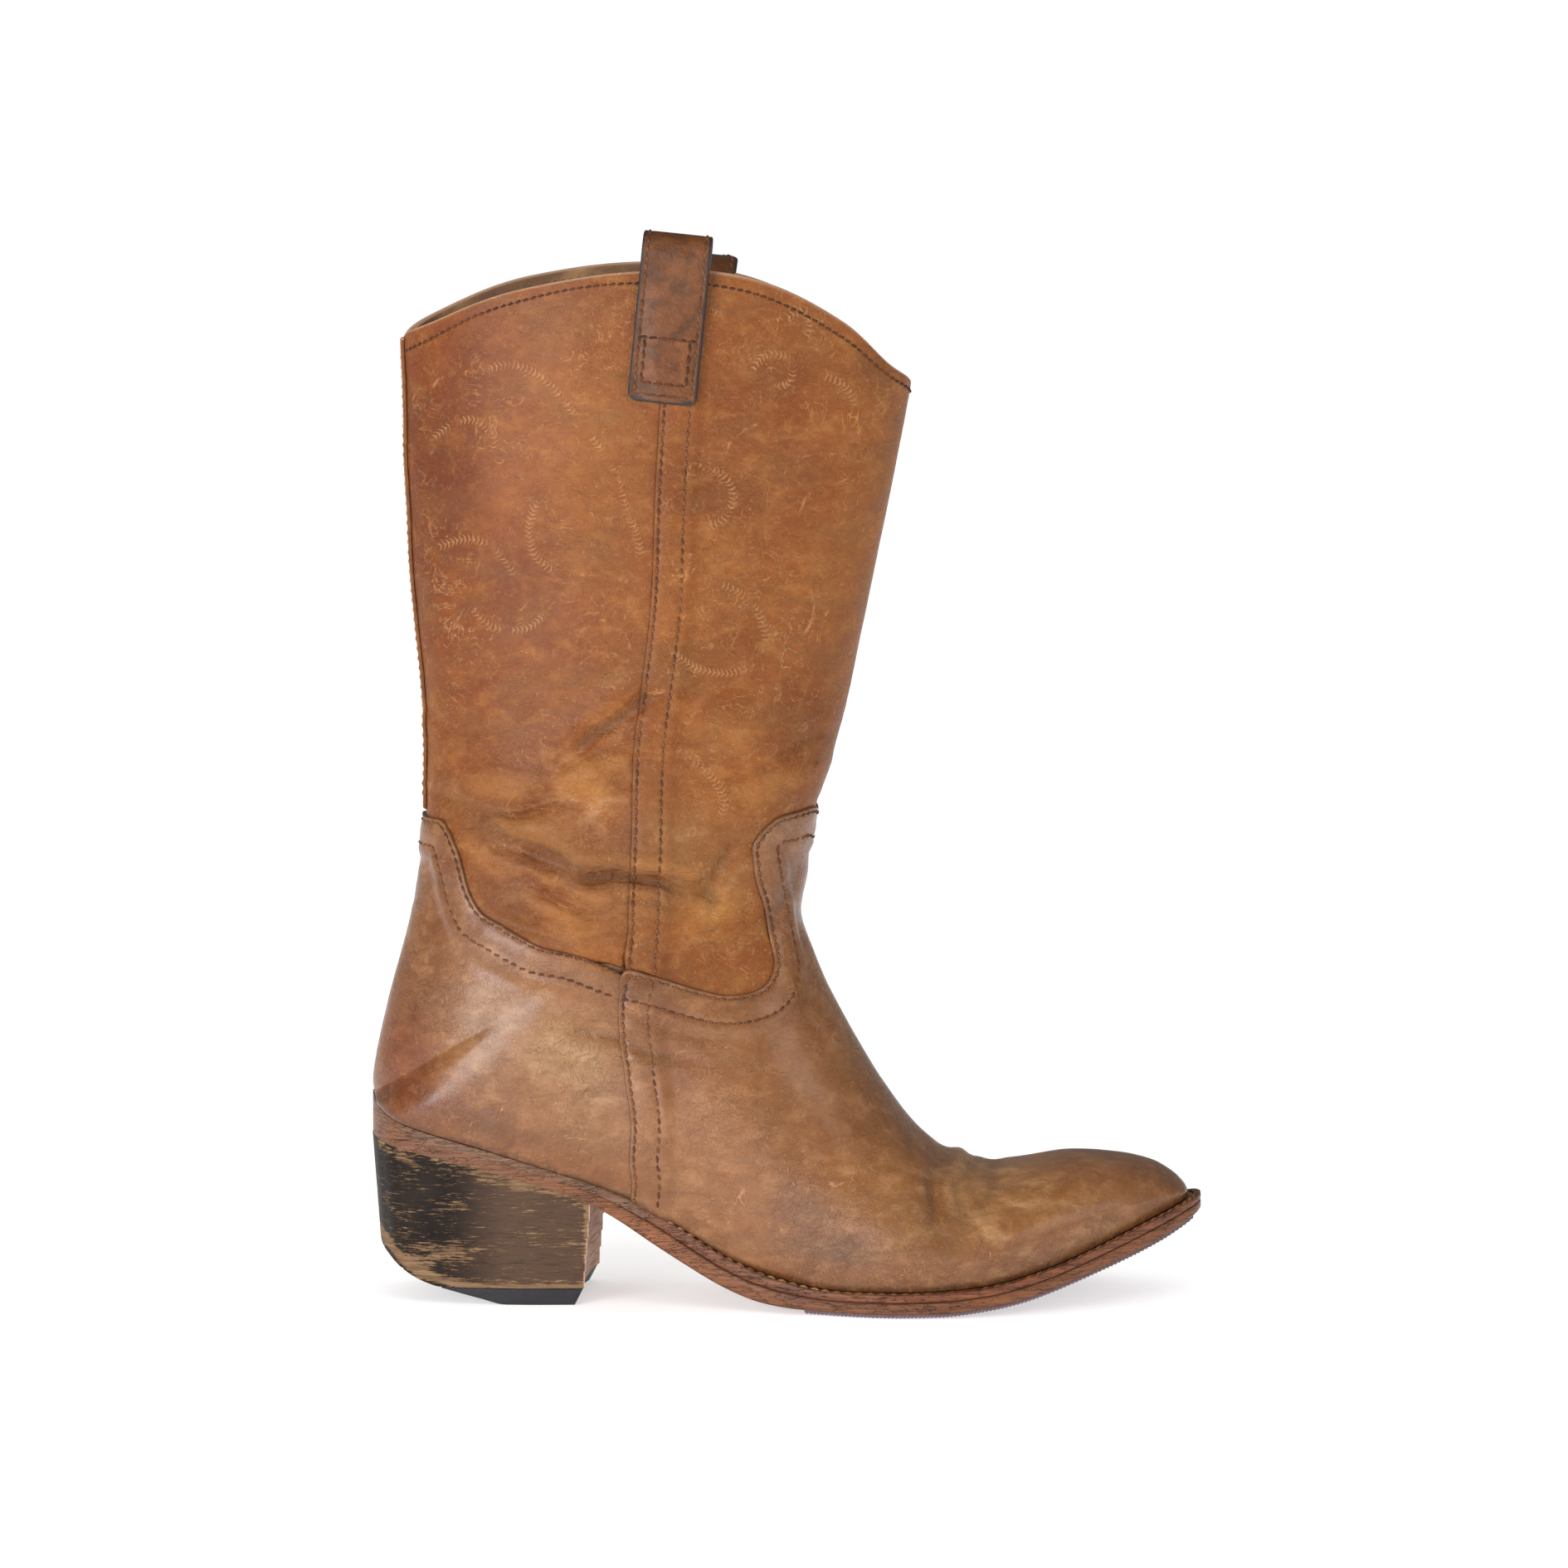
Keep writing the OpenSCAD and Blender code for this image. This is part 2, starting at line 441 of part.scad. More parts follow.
// The rear of the heel is walked off along two sloping planes
module worn_plane(x, slope)
  translate([x * length_factor, 0, 0])
    rotate([0, slope, 0])
      translate([-60, -50, -40])
        cube([60, 100, 40]);
module worn_corner() {
  worn_plane(wear_x, wear_slope);
  worn_plane(corner_x, corner_slope);
}
module nail_rods(extra)
  for (n = NAILS)
    translate([n[0] * length_factor, n[1] * width_factor, nail_low])
      cylinder(r = nail_r, h = sole_split(n[0]) - nail_low + extra, $fn = 24);
module heel_lift(i) {
  low = top_lift_t + (i - 1) * lift_t;
  difference() {
    lift_slab(low, low + lift_t);
    worn_corner();
    if (i > 1) nail_rods(0);
  }
}
module top_lift() color("black")
  difference() {
    lift_slab(0, top_lift_t);
    worn_corner();
  }
module heel_wedge() color("sienna")
  difference() {
    plate(concat(steps(breast_station, 14.8, 14), [heel_station]), function(t) heel_grow(42),
      function(x) tread(x), function(x) stack_top);
    nail_rods(0);
  }
module heel_nails() color("silver") nail_rods(0);

// Thread: each row is one continuous sewing thread lying on the leather
function row_depth(layers) = -layers * lap_t - thread_r - thin_gap;
module thread_top_line() color("saddlebrown")
  thread([for (w = steps(-1, 1, 56)) skin(top_station(w) - 0.09, w, row_depth(0))]);
module thread_side_seams() color("tan")
  for (side = [-1, 1], gap = [0.012, 0.038]) {
    thread([for (t = steps(13.8, 22.6, 20)) skin(t, side * (seam_arc(t) - gap), row_depth(1))]);
    thread([for (w = steps(0.44, 0.98, 12))
      let(p = vamp_place(side * w, 1 - gap * 3)) skin(p[0], p[1], row_depth(1))]);
  }
module thread_vamp() color("tan")
  for (r = [0.97, 0.9])
    thread([for (w = steps(-0.41, 0.41, 60)) let(p = vamp_place(w, r)) skin(p[0], p[1], row_depth(1))]);
module thread_counter() color("tan")
  for (r = [0.97, 0.92])
    thread([for (w = steps(-0.94, 0.94, 40)) let(p = counter_place(w, r)) skin(p[0], p[1], row_depth(1))]);
module thread_back_strip() color("wheat")
  for (side = [-1, 1])
    thread([for (t = steps(19.1, 22.1, 16))
      skin(t, side * (1 - strip_v * 0.75), -strip_t - thread_r - thin_gap)]);
module thread_pull_straps() color("tan")
  for (side = [-1, 1])
    strap_frame(side)
      for (x = [-1, 1])
        thread([for (i = [1:18])
          let(p = beside(line_of(side), i, -strap_t / 2 - thread_r - thin_gap))
            [x * (strap_w / 2 - 2), p[0], p[1]]]);
module thread_welt() color("wheat")
  thread([for (s = concat([for (t = steps(10.8, 0, 44)) [-1, t]], [for (t = steps(0, 10.8, 44)) [1, t]]))
    let(p = outline(s[1], s[0], welt_ledge * 0.5 * (s[1] > 9.5 ? 0.8 : 1)))
      lift_to(p, seat(p[0] / length_factor) + thread_r + thin_gap)]);

shaft_front();
shaft_back();
back_strip();
vamp();
counter();
shaft_lining_front();
shaft_lining_back();
vamp_lining();
heel_lining();
heel_stiffener();
toe_puff();
pull_strap_lateral();
pull_strap_medial();
insole();
heel_sock();
shank();
shank_cover();
cork_filler();
welt();
heel_rand();
outsole();
half_sole();
heel_wedge();
color("sienna") heel_lift(1);  // heel_lift_1
color("sienna") heel_lift(2);  // heel_lift_2
color("sienna") heel_lift(3);  // heel_lift_3
color("sienna") heel_lift(4);  // heel_lift_4
color("sienna") heel_lift(5);  // heel_lift_5
top_lift();
heel_nails();
thread_top_line();
thread_side_seams();
thread_vamp();
thread_counter();
thread_back_strip();
thread_pull_straps();
thread_welt();
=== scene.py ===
import json
import math

import bmesh
import bpy
import numpy as np
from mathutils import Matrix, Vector

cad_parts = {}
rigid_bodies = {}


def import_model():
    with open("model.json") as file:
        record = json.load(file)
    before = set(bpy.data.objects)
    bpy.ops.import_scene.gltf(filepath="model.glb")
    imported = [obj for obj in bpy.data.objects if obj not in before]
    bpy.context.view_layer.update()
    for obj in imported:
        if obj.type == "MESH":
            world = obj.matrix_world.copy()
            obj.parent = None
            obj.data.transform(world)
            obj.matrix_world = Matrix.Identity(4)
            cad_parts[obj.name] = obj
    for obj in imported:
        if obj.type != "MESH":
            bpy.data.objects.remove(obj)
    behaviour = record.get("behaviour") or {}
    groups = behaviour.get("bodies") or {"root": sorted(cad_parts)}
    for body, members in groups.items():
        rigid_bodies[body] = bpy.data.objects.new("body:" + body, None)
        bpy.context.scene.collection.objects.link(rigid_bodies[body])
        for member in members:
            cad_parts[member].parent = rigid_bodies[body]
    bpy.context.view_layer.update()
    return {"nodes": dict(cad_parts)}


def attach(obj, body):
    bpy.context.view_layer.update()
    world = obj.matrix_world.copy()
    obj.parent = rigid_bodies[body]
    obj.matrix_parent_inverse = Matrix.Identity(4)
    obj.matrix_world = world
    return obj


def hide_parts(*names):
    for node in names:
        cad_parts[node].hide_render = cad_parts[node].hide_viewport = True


# A worn tan western boot, right foot. Lengths are in millimetres until a mesh is made.
# +X points to the toe, +Z up, and -Y is the outer (lateral) side.

for leftover in list(bpy.data.objects):
    bpy.data.objects.remove(leftover)
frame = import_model()
NODES = frame["nodes"]
MM = 0.001


# ---------------------------------------------------------------- the last, as in the CAD model
def table(text):
    return np.array([[float(x) for x in row.split()] for row in text.split(",")])


# Ridge on the front: x z y
RIDGE = table("""131 33.4 5, 129.5 36 5, 125.5 39.7 5, 118.6 43.3 5, 107.6 45.6 5, 91.6 46.2 4.5,
  73.8 43.6 4, 57 45 3, 44 53.5 2, 32 69.5 1, 21 88 0, 12 106 0, 6.4 124 0, 8.1 139 0, 9 150 0,
  10.5 159 0, 13 166 0, 17 180 0, 21.5 200 0, 26.5 224 0, 31.5 248 0, 36.5 273 0, 41.8 300 0,
  46 335 0""")
# Feather line, then the back: x z lateral-y medial-y
FEATHER = table("""131 31.8 3 7, 129.4 31.2 -3 13, 125.2 29.6 -8.5 18.5, 118 26.8 -15 25,
  106.4 22 -23 32, 90 15.6 -32.5 38.5, 71.4 10.4 -40 41.5, 54.1 8.4 -44 41, 35 7.7 -44.5 36.5,
  11.2 8.5 -39.5 28, -14.3 15.6 -32.5 21.5, -47 34.4 -28.5 22, -85.8 48 -30 28,
  -119 57.4 -25.5 25, -129.6 62 -15 14.5, -133 66 0 0, -132.8 75 15 -14.5, -128.2 96 0 0,
  -120.6 125 0 0, -115.9 157 0 0, -116.6 200 0 0, -120.3 250 0 0, -121.9 300 0 0,
  -123.4 345 0 0""")
# Widest place: lateral-y medial-y share of the way from ridge to feather
GIRTH = table("""3 7 .6, -3.2 13.2 .6, -9.2 19.2 .62, -16 26 .64, -24.2 33.2 .66, -34 40 .68,
  -42 43.5 .7, -46 43.5 .7, -46.5 40.5 .7, -43.5 36 .66, -40.5 34 .62, -38.5 34 .57,
  -36 33.5 .55, -35.2 33.5 .53, -35 33.8 .52, -34.8 34 .51, -34.8 34.3 .5, -34.5 34 .5,
  -34 33.5 .5, -33.5 33 .5, -33 32.5 .5, -32.5 32 .5, -32 32 .5, -31.5 31.5 .5""")
HEEL = 15  # the station where the feather line reaches the back of the heel
# The vamp's edge and its second stitch row: place across the panel, station, arc place
VAMP_EDGE = table("""0 14.9 0, .06 15.6 .125, .1 16.1 .208, .13 15.8 .248, .165 14.5 .234,
  .19 13.4 .219, .215 12.4 .2, .24 11.8 .208, .27 11.6 .258, .31 11.85 .325, .345 12.35 .37,
  .38 13 .408, .42 13.7 .441, .48 13.1 .459, .56 12.45 .496, .65 11.95 .55, .74 11.53 .635,
  .83 11.27 .747, .91 11.11 .84, 1 11.01 1""")
VAMP_ROW = table("""0 14.3 0, .06 14.9 .112, .1 15.3 .172, .13 15 .2, .165 14.1 .199,
  .19 13.1 .183, .215 12.1 .156, .24 11.4 .184, .27 11.2 .258, .31 11.4 .33, .345 11.8 .383,
  .38 12.3 .419, .42 12.9 .449, .48 12.5 .47, .56 11.9 .513, .65 11.4 .575, .74 11.03 .656,
  .83 10.78 .757, .91 10.66 .85, 1 10.61 1""")
VAMP_BASE, VAMP_BODY, VAMP_LAP = 10.4, 0.6, 0.85
SEAM_LOW = VAMP_EDGE[12:, 1:]
TONGUE = VAMP_EDGE[:13, 1:]
COUNTER_TOP = table("""13.7 .442, 15.7 .513, 16.6 .588, 17.2 .653, 17.6 .711, 17.95 .748,
  18.2 .767, 18.5 .795, 18.75 .827, 18.9 .87, 19 1""")
# Side seam above the counter: station, arc place
SEAM_HIGH = table("13.7 .441, 15 .44, 17 .467, 18.2 .495, 18.9 .505, 20.3 .494, 22.7 .491")
# Scalloped top line: arc place, lateral station, medial station
TOP_LINE = table("""0 21.87 21.87, .13 22.06 21.99, .25 22.42 22.32, .4 22.75 22.67,
  .55 22.75 22.75, .7 22.56 22.6, .85 22.32 22.36, 1 22.2 22.2""")
# Underside of the outsole: x z
TREAD = table("""-134 52.6, -119 49.5, -96.5 44.5, -74.5 38.5, -62.7 34, -52.7 28.3, -41.7 21,
  -30.8 14.3, -19.8 8.2, -8.9 3.9, 2 2.1, 17 1.45, 30 1.3, 43 1.45, 57 2, 77.3 5.2, 98 12,
  120.8 20.8, 135 28""")

LEATHER = 1.8  # thickness of the outer leather
LAP = 1.15  # how far a lapped edge stands over the panel below
LAP_W = 11.0  # width of a lap
ROWS = (1.6, 9.4)  # distances of the two stitch rows from a lapped edge
LINING_DEPTH, LINING = 2.1, 0.9
SEAM_V = 0.491


def mix(a, b, s):
    return a + (b - a) * s


def smooth(x, low, high):
    s = np.clip((np.asarray(x, float) - low) / (high - low), 0, 1)
    return s * s * (3 - 2 * s)


def bump(x, centre, width):
    return np.exp(-(((x - centre) / width) ** 2))


def unit(v):
    return v / np.linalg.norm(v, axis=-1, keepdims=True)


def run_along(line):
    """Distance along a line of points, from 0 at its start."""
    return np.concatenate([[0], np.cumsum(np.linalg.norm(np.diff(line, axis=0), axis=-1))])


def doubled(values):
    """The same values for the outer and the inner layer of a sheet."""
    return np.concatenate([values.reshape(-1, *values.shape[2:])] * 2)


def at(rows, t):
    """Smooth curve through evenly numbered points."""
    n = len(rows) - 1
    t = np.asarray(t, float)
    i = np.clip(np.floor(t), 0, n - 1).astype(int)
    f = (t - i)[..., None]
    a, b, c, d = rows[np.maximum(i - 1, 0)], rows[i], rows[i + 1], rows[np.minimum(i + 2, n)]
    return b + 0.5 * f * ((c - a) + f * ((2 * a - 5 * b + 4 * c - d) + f * (3 * b - a - 3 * c + d)))


def along(rows, s):
    return at(rows, np.asarray(s) * (len(rows) - 1))


def graph(xs, ys, x):
    """Smooth graph through points with rising x, straight beyond its ends."""
    x = np.asarray(x, float)
    i = np.clip(np.searchsorted(xs, x, side="right") - 1, 0, len(xs) - 2)
    slope = np.empty(len(xs))
    slope[1:-1] = (ys[2:] - ys[:-2]) / (xs[2:] - xs[:-2])
    slope[0] = (ys[1] - ys[0]) / (xs[1] - xs[0])
    slope[-1] = (ys[-1] - ys[-2]) / (xs[-1] - xs[-2])
    w = xs[i + 1] - xs[i]
    s = np.clip((x - xs[i]) / w, 0, 1)
    p, q, rise = slope[i] * w, slope[i + 1] * w, ys[i + 1] - ys[i]
    over = (x - xs[i]) / w - s
    value = ys[i] + s * (p + s * (3 * rise - 2 * p - q + s * (p + q - 2 * rise)))
    return value + over * np.where(over > 0, q, p)


def seat(x):
    return graph(FEATHER[HEEL::-1, 0], FEATHER[HEEL::-1, 1], x)


def tread(x):
    return graph(TREAD[:, 0], TREAD[:, 1], x)


def last(t, v):
    """A point on the outside of the upper; v < 0 is the lateral side."""
    t, v = np.broadcast_arrays(np.asarray(t, float), np.asarray(v, float))
    r, f, g = at(RIDGE, t), at(FEATHER, t), at(GIRTH, t)
    lateral, q = v < 0, np.minimum(np.abs(v), 1)
    wide = np.where(lateral, g[..., 0], g[..., 1])
    end = np.where(t >= HEEL, 0, np.where(lateral, f[..., 2], f[..., 3]))
    a, share, front = np.pi * q, g[..., 2], q < 0.5
    s = np.where(front, share * (1 - np.cos(a)), share - (1 - share) * np.cos(a))
    y = np.where(front, r[..., 2] + (wide - r[..., 2]) * np.sin(a), end + (wide - end) * np.sin(a))
    return np.stack([mix(r[..., 0], f[..., 0], s), y, mix(r[..., 1], f[..., 1], s)], -1)


def outward(t, v):
    h = 0.02
    t, v = np.broadcast_arrays(np.asarray(t, float), np.asarray(v, float))
    side = np.where(v < 0, -1.0, 1.0)
    q = np.clip(np.abs(v), 0, 1 - h)
    dt = last(np.minimum(t + h, 23), side * q) - last(np.maximum(t - h, 0), side * q)
    dv = last(t, side * (q + h)) - last(t, side * np.maximum(q - h, 0))
    n = np.cross(dv, dt) * side[..., None]
    flat = (q < 0.01) | ((np.abs(v) > 0.999) & (t >= HEEL))
    n[..., 1] = np.where(flat, 0, n[..., 1])
    return unit(n)


# ---------------------------------------------------------------- noise and distances
def wave_noise(p, scale, seed, octaves=4, gain=0.5):
    """Smooth seeded noise on points, from sums of tilted waves; about -1 to 1."""
    rng = np.random.default_rng(seed)
    total, weight = np.zeros(p.shape[:-1]), 0.0
    for octave in range(octaves):
        level = np.zeros(p.shape[:-1])
        for _ in range(6):
            direction = unit(rng.normal(size=3))
            turn = rng.uniform(0, 2 * np.pi)
            wobble = unit(rng.normal(size=3))
            k = 2 * np.pi / scale * 2**octave * rng.uniform(0.7, 1.3)
            level += np.sin(k * (p @ direction) + turn + 1.3 * np.sin(0.6 * k * (p @ wobble)))
        total += level / 6 * gain**octave
        weight += gain**octave
    return total / weight * 1.8


def near(points, line):
    """Distance from each point to a polyline, and the place along it from 0 to 1."""
    shape = points.shape[:-1]
    p = points.reshape(-1, points.shape[-1])
    a, b = line[:-1], line[1:]
    d = b - a
    long, start = np.linalg.norm(d, axis=-1), run_along(line)
    best = np.full(len(p), 1e9)
    place = np.zeros(len(p))
    for i in range(len(a)):
        s = np.clip(((p - a[i]) @ d[i]) / (long[i] ** 2 + 1e-12), 0, 1)
        dist = np.linalg.norm(p - a[i] - s[:, None] * d[i], axis=-1)
        closer = dist < best
        best[closer] = dist[closer]
        place[closer] = (start[i] + s[closer] * long[i]) / start[-1]
    return best.reshape(shape), place.reshape(shape)


def fine(line, count):
    """Smooth curve of count points through a short list of points."""
    return along(np.asarray(line, float), np.linspace(0, 1, count))


# ---------------------------------------------------------------- seams
def seam_path(side):
    low = along(SEAM_LOW[::-1], np.linspace(0, 1, 60))
    t = np.linspace(13.75, 22.7, 90)
    high = np.stack([t, graph(SEAM_HIGH[:, 0], SEAM_HIGH[:, 1], t)], -1)
    return np.concatenate([low, high]) * [1, side]


def yoke_path(side):
    front = along(TONGUE, np.linspace(0, 1, 120))
    back = along(COUNTER_TOP, np.linspace(0, 1, 90))[1:]
    return np.concatenate([front, back]) * [1, side]


def lift(path):
    """Station and arc places to points on the last."""
    return last(path[:, 0], path[:, 1])


SEAMS = {s: lift(seam_path(s)) for s in (-1, 1)}
YOKES = {s: lift(yoke_path(s)) for s in (-1, 1)}


def seam_distance(p, v, lines):
    """Distance from the line on the point's own side; on the middle, from the nearer of both."""
    far = 1e3
    return np.minimum(near(p, lines[-1])[0] + far * (v > 0.02), near(p, lines[1])[0] + far * (v < -0.02))


def lap_height(d):
    return LAP * (1 - smooth(d, LAP_W, LAP_W + 4))


def channel(d):
    """Leather pulled down along the stitch rows and swelling between them."""
    rows = sum(bump(d, row, 0.75) for row in ROWS)
    return 0.22 * bump(d, np.mean(ROWS), 3.2) - 0.26 * rows


# ---------------------------------------------------------------- creases of the worn leather
# Folds on the outer side as (x, z) points, then depth and width
FOLDS = [
    ([(-40, 199), (-47, 193), (-54, 187), (-63, 180), (-74, 173)], 1.25, 2.6),
    ([(-36, 192), (-45, 186), (-56, 178), (-64, 171)], 0.5, 1.8),
    ([(-112, 164), (-96, 161), (-82, 162), (-70, 164), (-60, 162), (-49, 158)], 0.8, 2.8),
    ([(-107, 160), (-93, 152), (-73, 143), (-52, 137)], 0.9, 2.6),
    ([(-84, 138), (-75, 135), (-66, 132), (-56, 129)], 1.15, 2.0),
    ([(-68, 137), (-55, 139), (-41, 139), (-30, 136), (-20, 134)], 1.3, 2.1),
    ([(-58, 132), (-46, 133), (-34, 131), (-24, 128)], 0.55, 1.7),
    ([(-44, 195), (-31, 197), (-20, 199), (-8, 203)], 0.6, 3.0),
    ([(19, 184), (5, 181), (-12, 174), (-26, 168)], 0.75, 3.4),
    ([(-73, 92), (-57, 90), (-46, 86), (-36, 83), (-24, 80)], 0.6, 1.9),
    ([(-14, 152), (-19, 145), (-22, 136), (-18, 126)], 0.6, 2.6),
    ([(8, 140), (2, 133), (-3, 124), (-4, 116)], 0.55, 2.6),
    ([(-96, 128), (-84, 124), (-70, 121)], 0.45, 2.2),
]
# Swells between the folds: x, z, radius, height
SWELLS = [(-60, 172, 10, 1.5), (-90, 170, 13, 0.9), (-34, 150, 11, 0.9), (-70, 152, 9, 0.8),
          (-4, 168, 12, 1.0), (-46, 127, 9, 0.7), (-100, 140, 9, 0.7), (-20, 186, 12, 0.7)]
# Folds of the inner side differ a little from the outer ones
FOLDS_IN = [
    ([(-34, 192), (-48, 186), (-62, 182), (-78, 180)], 1.1, 2.8),
    ([(-112, 158), (-96, 157), (-80, 154), (-62, 157), (-46, 154)], 0.9, 2.8),
    ([(-86, 140), (-70, 136), (-56, 136), (-38, 140), (-18, 138)], 1.3, 2.3),
    ([(-100, 149), (-88, 145), (-74, 145)], 0.7, 2.6),
    ([(-60, 128), (-44, 129), (-26, 126)], 0.7, 2.0),
    ([(18, 180), (2, 178), (-14, 172), (-24, 163)], 0.8, 3.2),
    ([(-70, 96), (-54, 92), (-38, 88), (-22, 86)], 0.5, 2.0),
    ([(6, 138), (-2, 130), (-6, 120)], 0.5, 2.6),
]
SWELLS_IN = [(-64, 168, 11, 1.3), (-30, 152, 12, 1.0), (-92, 167, 12, 0.9), (-6, 164, 12, 0.9),
             (-46, 118, 10, 0.6), (-76, 148, 9, 0.7)]
# Creases over the toe break, for both sides: (x, z) where they start on top and end low
BREAKS = [([(51, 48), (50, 43), (48.5, 36), (48, 27)], 1.0, 2.6),
          ([(62, 44), (60, 39), (60, 32)], 0.55, 1.8),
          ([(44, 52), (42, 45), (40, 38)], 0.45, 2.0),
          ([(69, 43.5), (67, 38), (67, 32)], 0.35, 2.2)]


def folds(xz, lines):
    total = np.zeros(xz.shape[:-1])
    for points, depth, width in lines:
        d, s = near(xz, fine(points, 24))
        ends = np.sin(np.pi * np.clip(s, 0.02, 0.98)) ** 0.6
        shoulder = 0.6 * bump(d, 2.6 * width, 1.6 * width)
        total += ends * depth * 1.5 * (shoulder - bump(d, 0, 1.15 * width))
    return total


def swells(xz, hills):
    return sum(h * np.exp(-(((xz[..., 0] - x) ** 2) + (xz[..., 1] - z) ** 2) / r**2)
               for x, z, r, h in hills)


def relief(p, v):
    """How far the worn leather stands out of the last or sinks into it."""
    x, z, q = p[..., 0], p[..., 2], np.abs(v)
    wander = np.stack([wave_noise(p, 34, 5, 2), wave_noise(p, 30, 6, 2)], -1) * 2.0
    xz = p[..., [0, 2]] + wander
    inside = mix(smooth(v, -0.06, 0.06), 0.5, smooth(q, 0.84, 1.0))
    off_middle = mix(0.45, 1.0, 1 - bump(q, 0, 0.1))
    outer_side, inner_side = ((folds(xz, lines) + swells(xz, hills)) * off_middle
                              for lines, hills in ((FOLDS, SWELLS), (FOLDS_IN, SWELLS_IN)))
    off_back = mix(0.3, 1.0, 1 - smooth(q, 0.9, 1.0) * (z > 55))
    total = mix(outer_side, inner_side, inside) * off_back
    ankle = smooth(z, 110, 130) * (1 - smooth(z, 185, 215))
    total += 0.5 * smooth(z, 120, 150) * wave_noise(p, 90, 11, 2)
    total += 0.28 * ankle * wave_noise(p * [1, 1, 2.2], 26, 12, 3)
    total += 0.1 * wave_noise(p, 22, 13, 3)
    toe_break = bump(x, 58, 16) * smooth(z, 18, 34)
    total += toe_break * folds(xz, BREAKS) * 1.15
    total += 0.5 * bump(x, 57, 4) * bump(z, 46, 9) - 0.8 * bump(x, 67, 6) * bump(z, 43, 9)
    total -= 0.9 * bump(np.hypot(x - 8, z - 124), 0, 7) * (1 - smooth(q, 0.1, 0.3))
    keep = smooth(z, 32, 48) + smooth(z - seat(x), 3, 14) * (x > -40)
    return total * np.clip(keep, 0, 1)


# ---------------------------------------------------------------- mesh making
SHARP = math.radians(48)


def make(name, points, faces, replaces=(), material=None, attributes=None, turn=False):
    """One piece of the boot from points in millimetres; turn makes all its faces look outwards."""
    mesh = bpy.data.meshes.new(name)
    mesh.from_pydata([tuple(p) for p in np.asarray(points, float) * MM], [], faces)
    mesh.validate()
    if turn:
        work = bmesh.new()
        work.from_mesh(mesh)
        bmesh.ops.recalc_face_normals(work, faces=work.faces)
        work.to_mesh(mesh)
        work.free()
    for key, values in (attributes or {}).items():
        values = np.asarray(values, np.float32)
        kind, field = ("FLOAT_COLOR", "color") if values.ndim == 2 else ("FLOAT", "value")
        if values.ndim == 2:
            values = np.concatenate([values, np.ones((len(values), 1), np.float32)], 1)
        mesh.attributes.new(key, kind, "POINT").data.foreach_set(field, values.ravel())
    mesh.shade_smooth()
    mesh.set_sharp_from_angle(angle=SHARP)
    piece = bpy.data.objects.new(name, mesh)
    bpy.context.scene.collection.objects.link(piece)
    if material:
        mesh.materials.append(material)
    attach(piece, "root")
    if replaces:
        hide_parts(*replaces)
    return piece


def grid_faces(nr, nw, flip=False, base=0):
    j, i = np.meshgrid(np.arange(nr - 1), np.arange(nw - 1), indexing="ij")
    a = (base + j * nw + i).ravel()
    quads = np.stack([a, a + nw, a + nw + 1, a + 1], -1)
    return (quads[:, ::-1] if flip else quads).tolist()


def closed_sheet_faces(nr, nw):
    """Faces of two layers of a grid and the strip that joins their borders."""
    n = nr * nw
    faces = grid_faces(nr, nw) + grid_faces(nr, nw, True, n)
    ring = (list(range(nw)) + [j * nw + nw - 1 for j in range(1, nr)]
            + [(nr - 1) * nw + i for i in range(nw - 2, -1, -1)] + [j * nw for j in range(nr - 2, 0, -1)])
    for a, b in zip(ring, ring[1:] + ring[:1]):
        faces.append([a, b, b + n, a + n])
    return faces


def edge_distance(p):
    """Distance along the grid from each point to each of its four borders."""
    down = np.linalg.norm(np.diff(p, axis=0), axis=-1)
    across = np.linalg.norm(np.diff(p, axis=1), axis=-1)
    zero_r, zero_w = np.zeros((1, p.shape[1])), np.zeros((p.shape[0], 1))
    low = np.concatenate([zero_r, np.cumsum(down, 0)])
    left = np.concatenate([zero_w, np.cumsum(across, 1)], 1)
    return low, low[-1:] - low, left, left[:, -1:] - left


def round_off(d, radius):
    """How much a rounded edge drops at a distance from the border."""
    s = np.clip(1 - d / radius, 0, 1)
    return radius * (1 - np.sqrt(np.maximum(1 - s * s, 0)))


TOP_HALF = 21  # stations above this belong to the top line


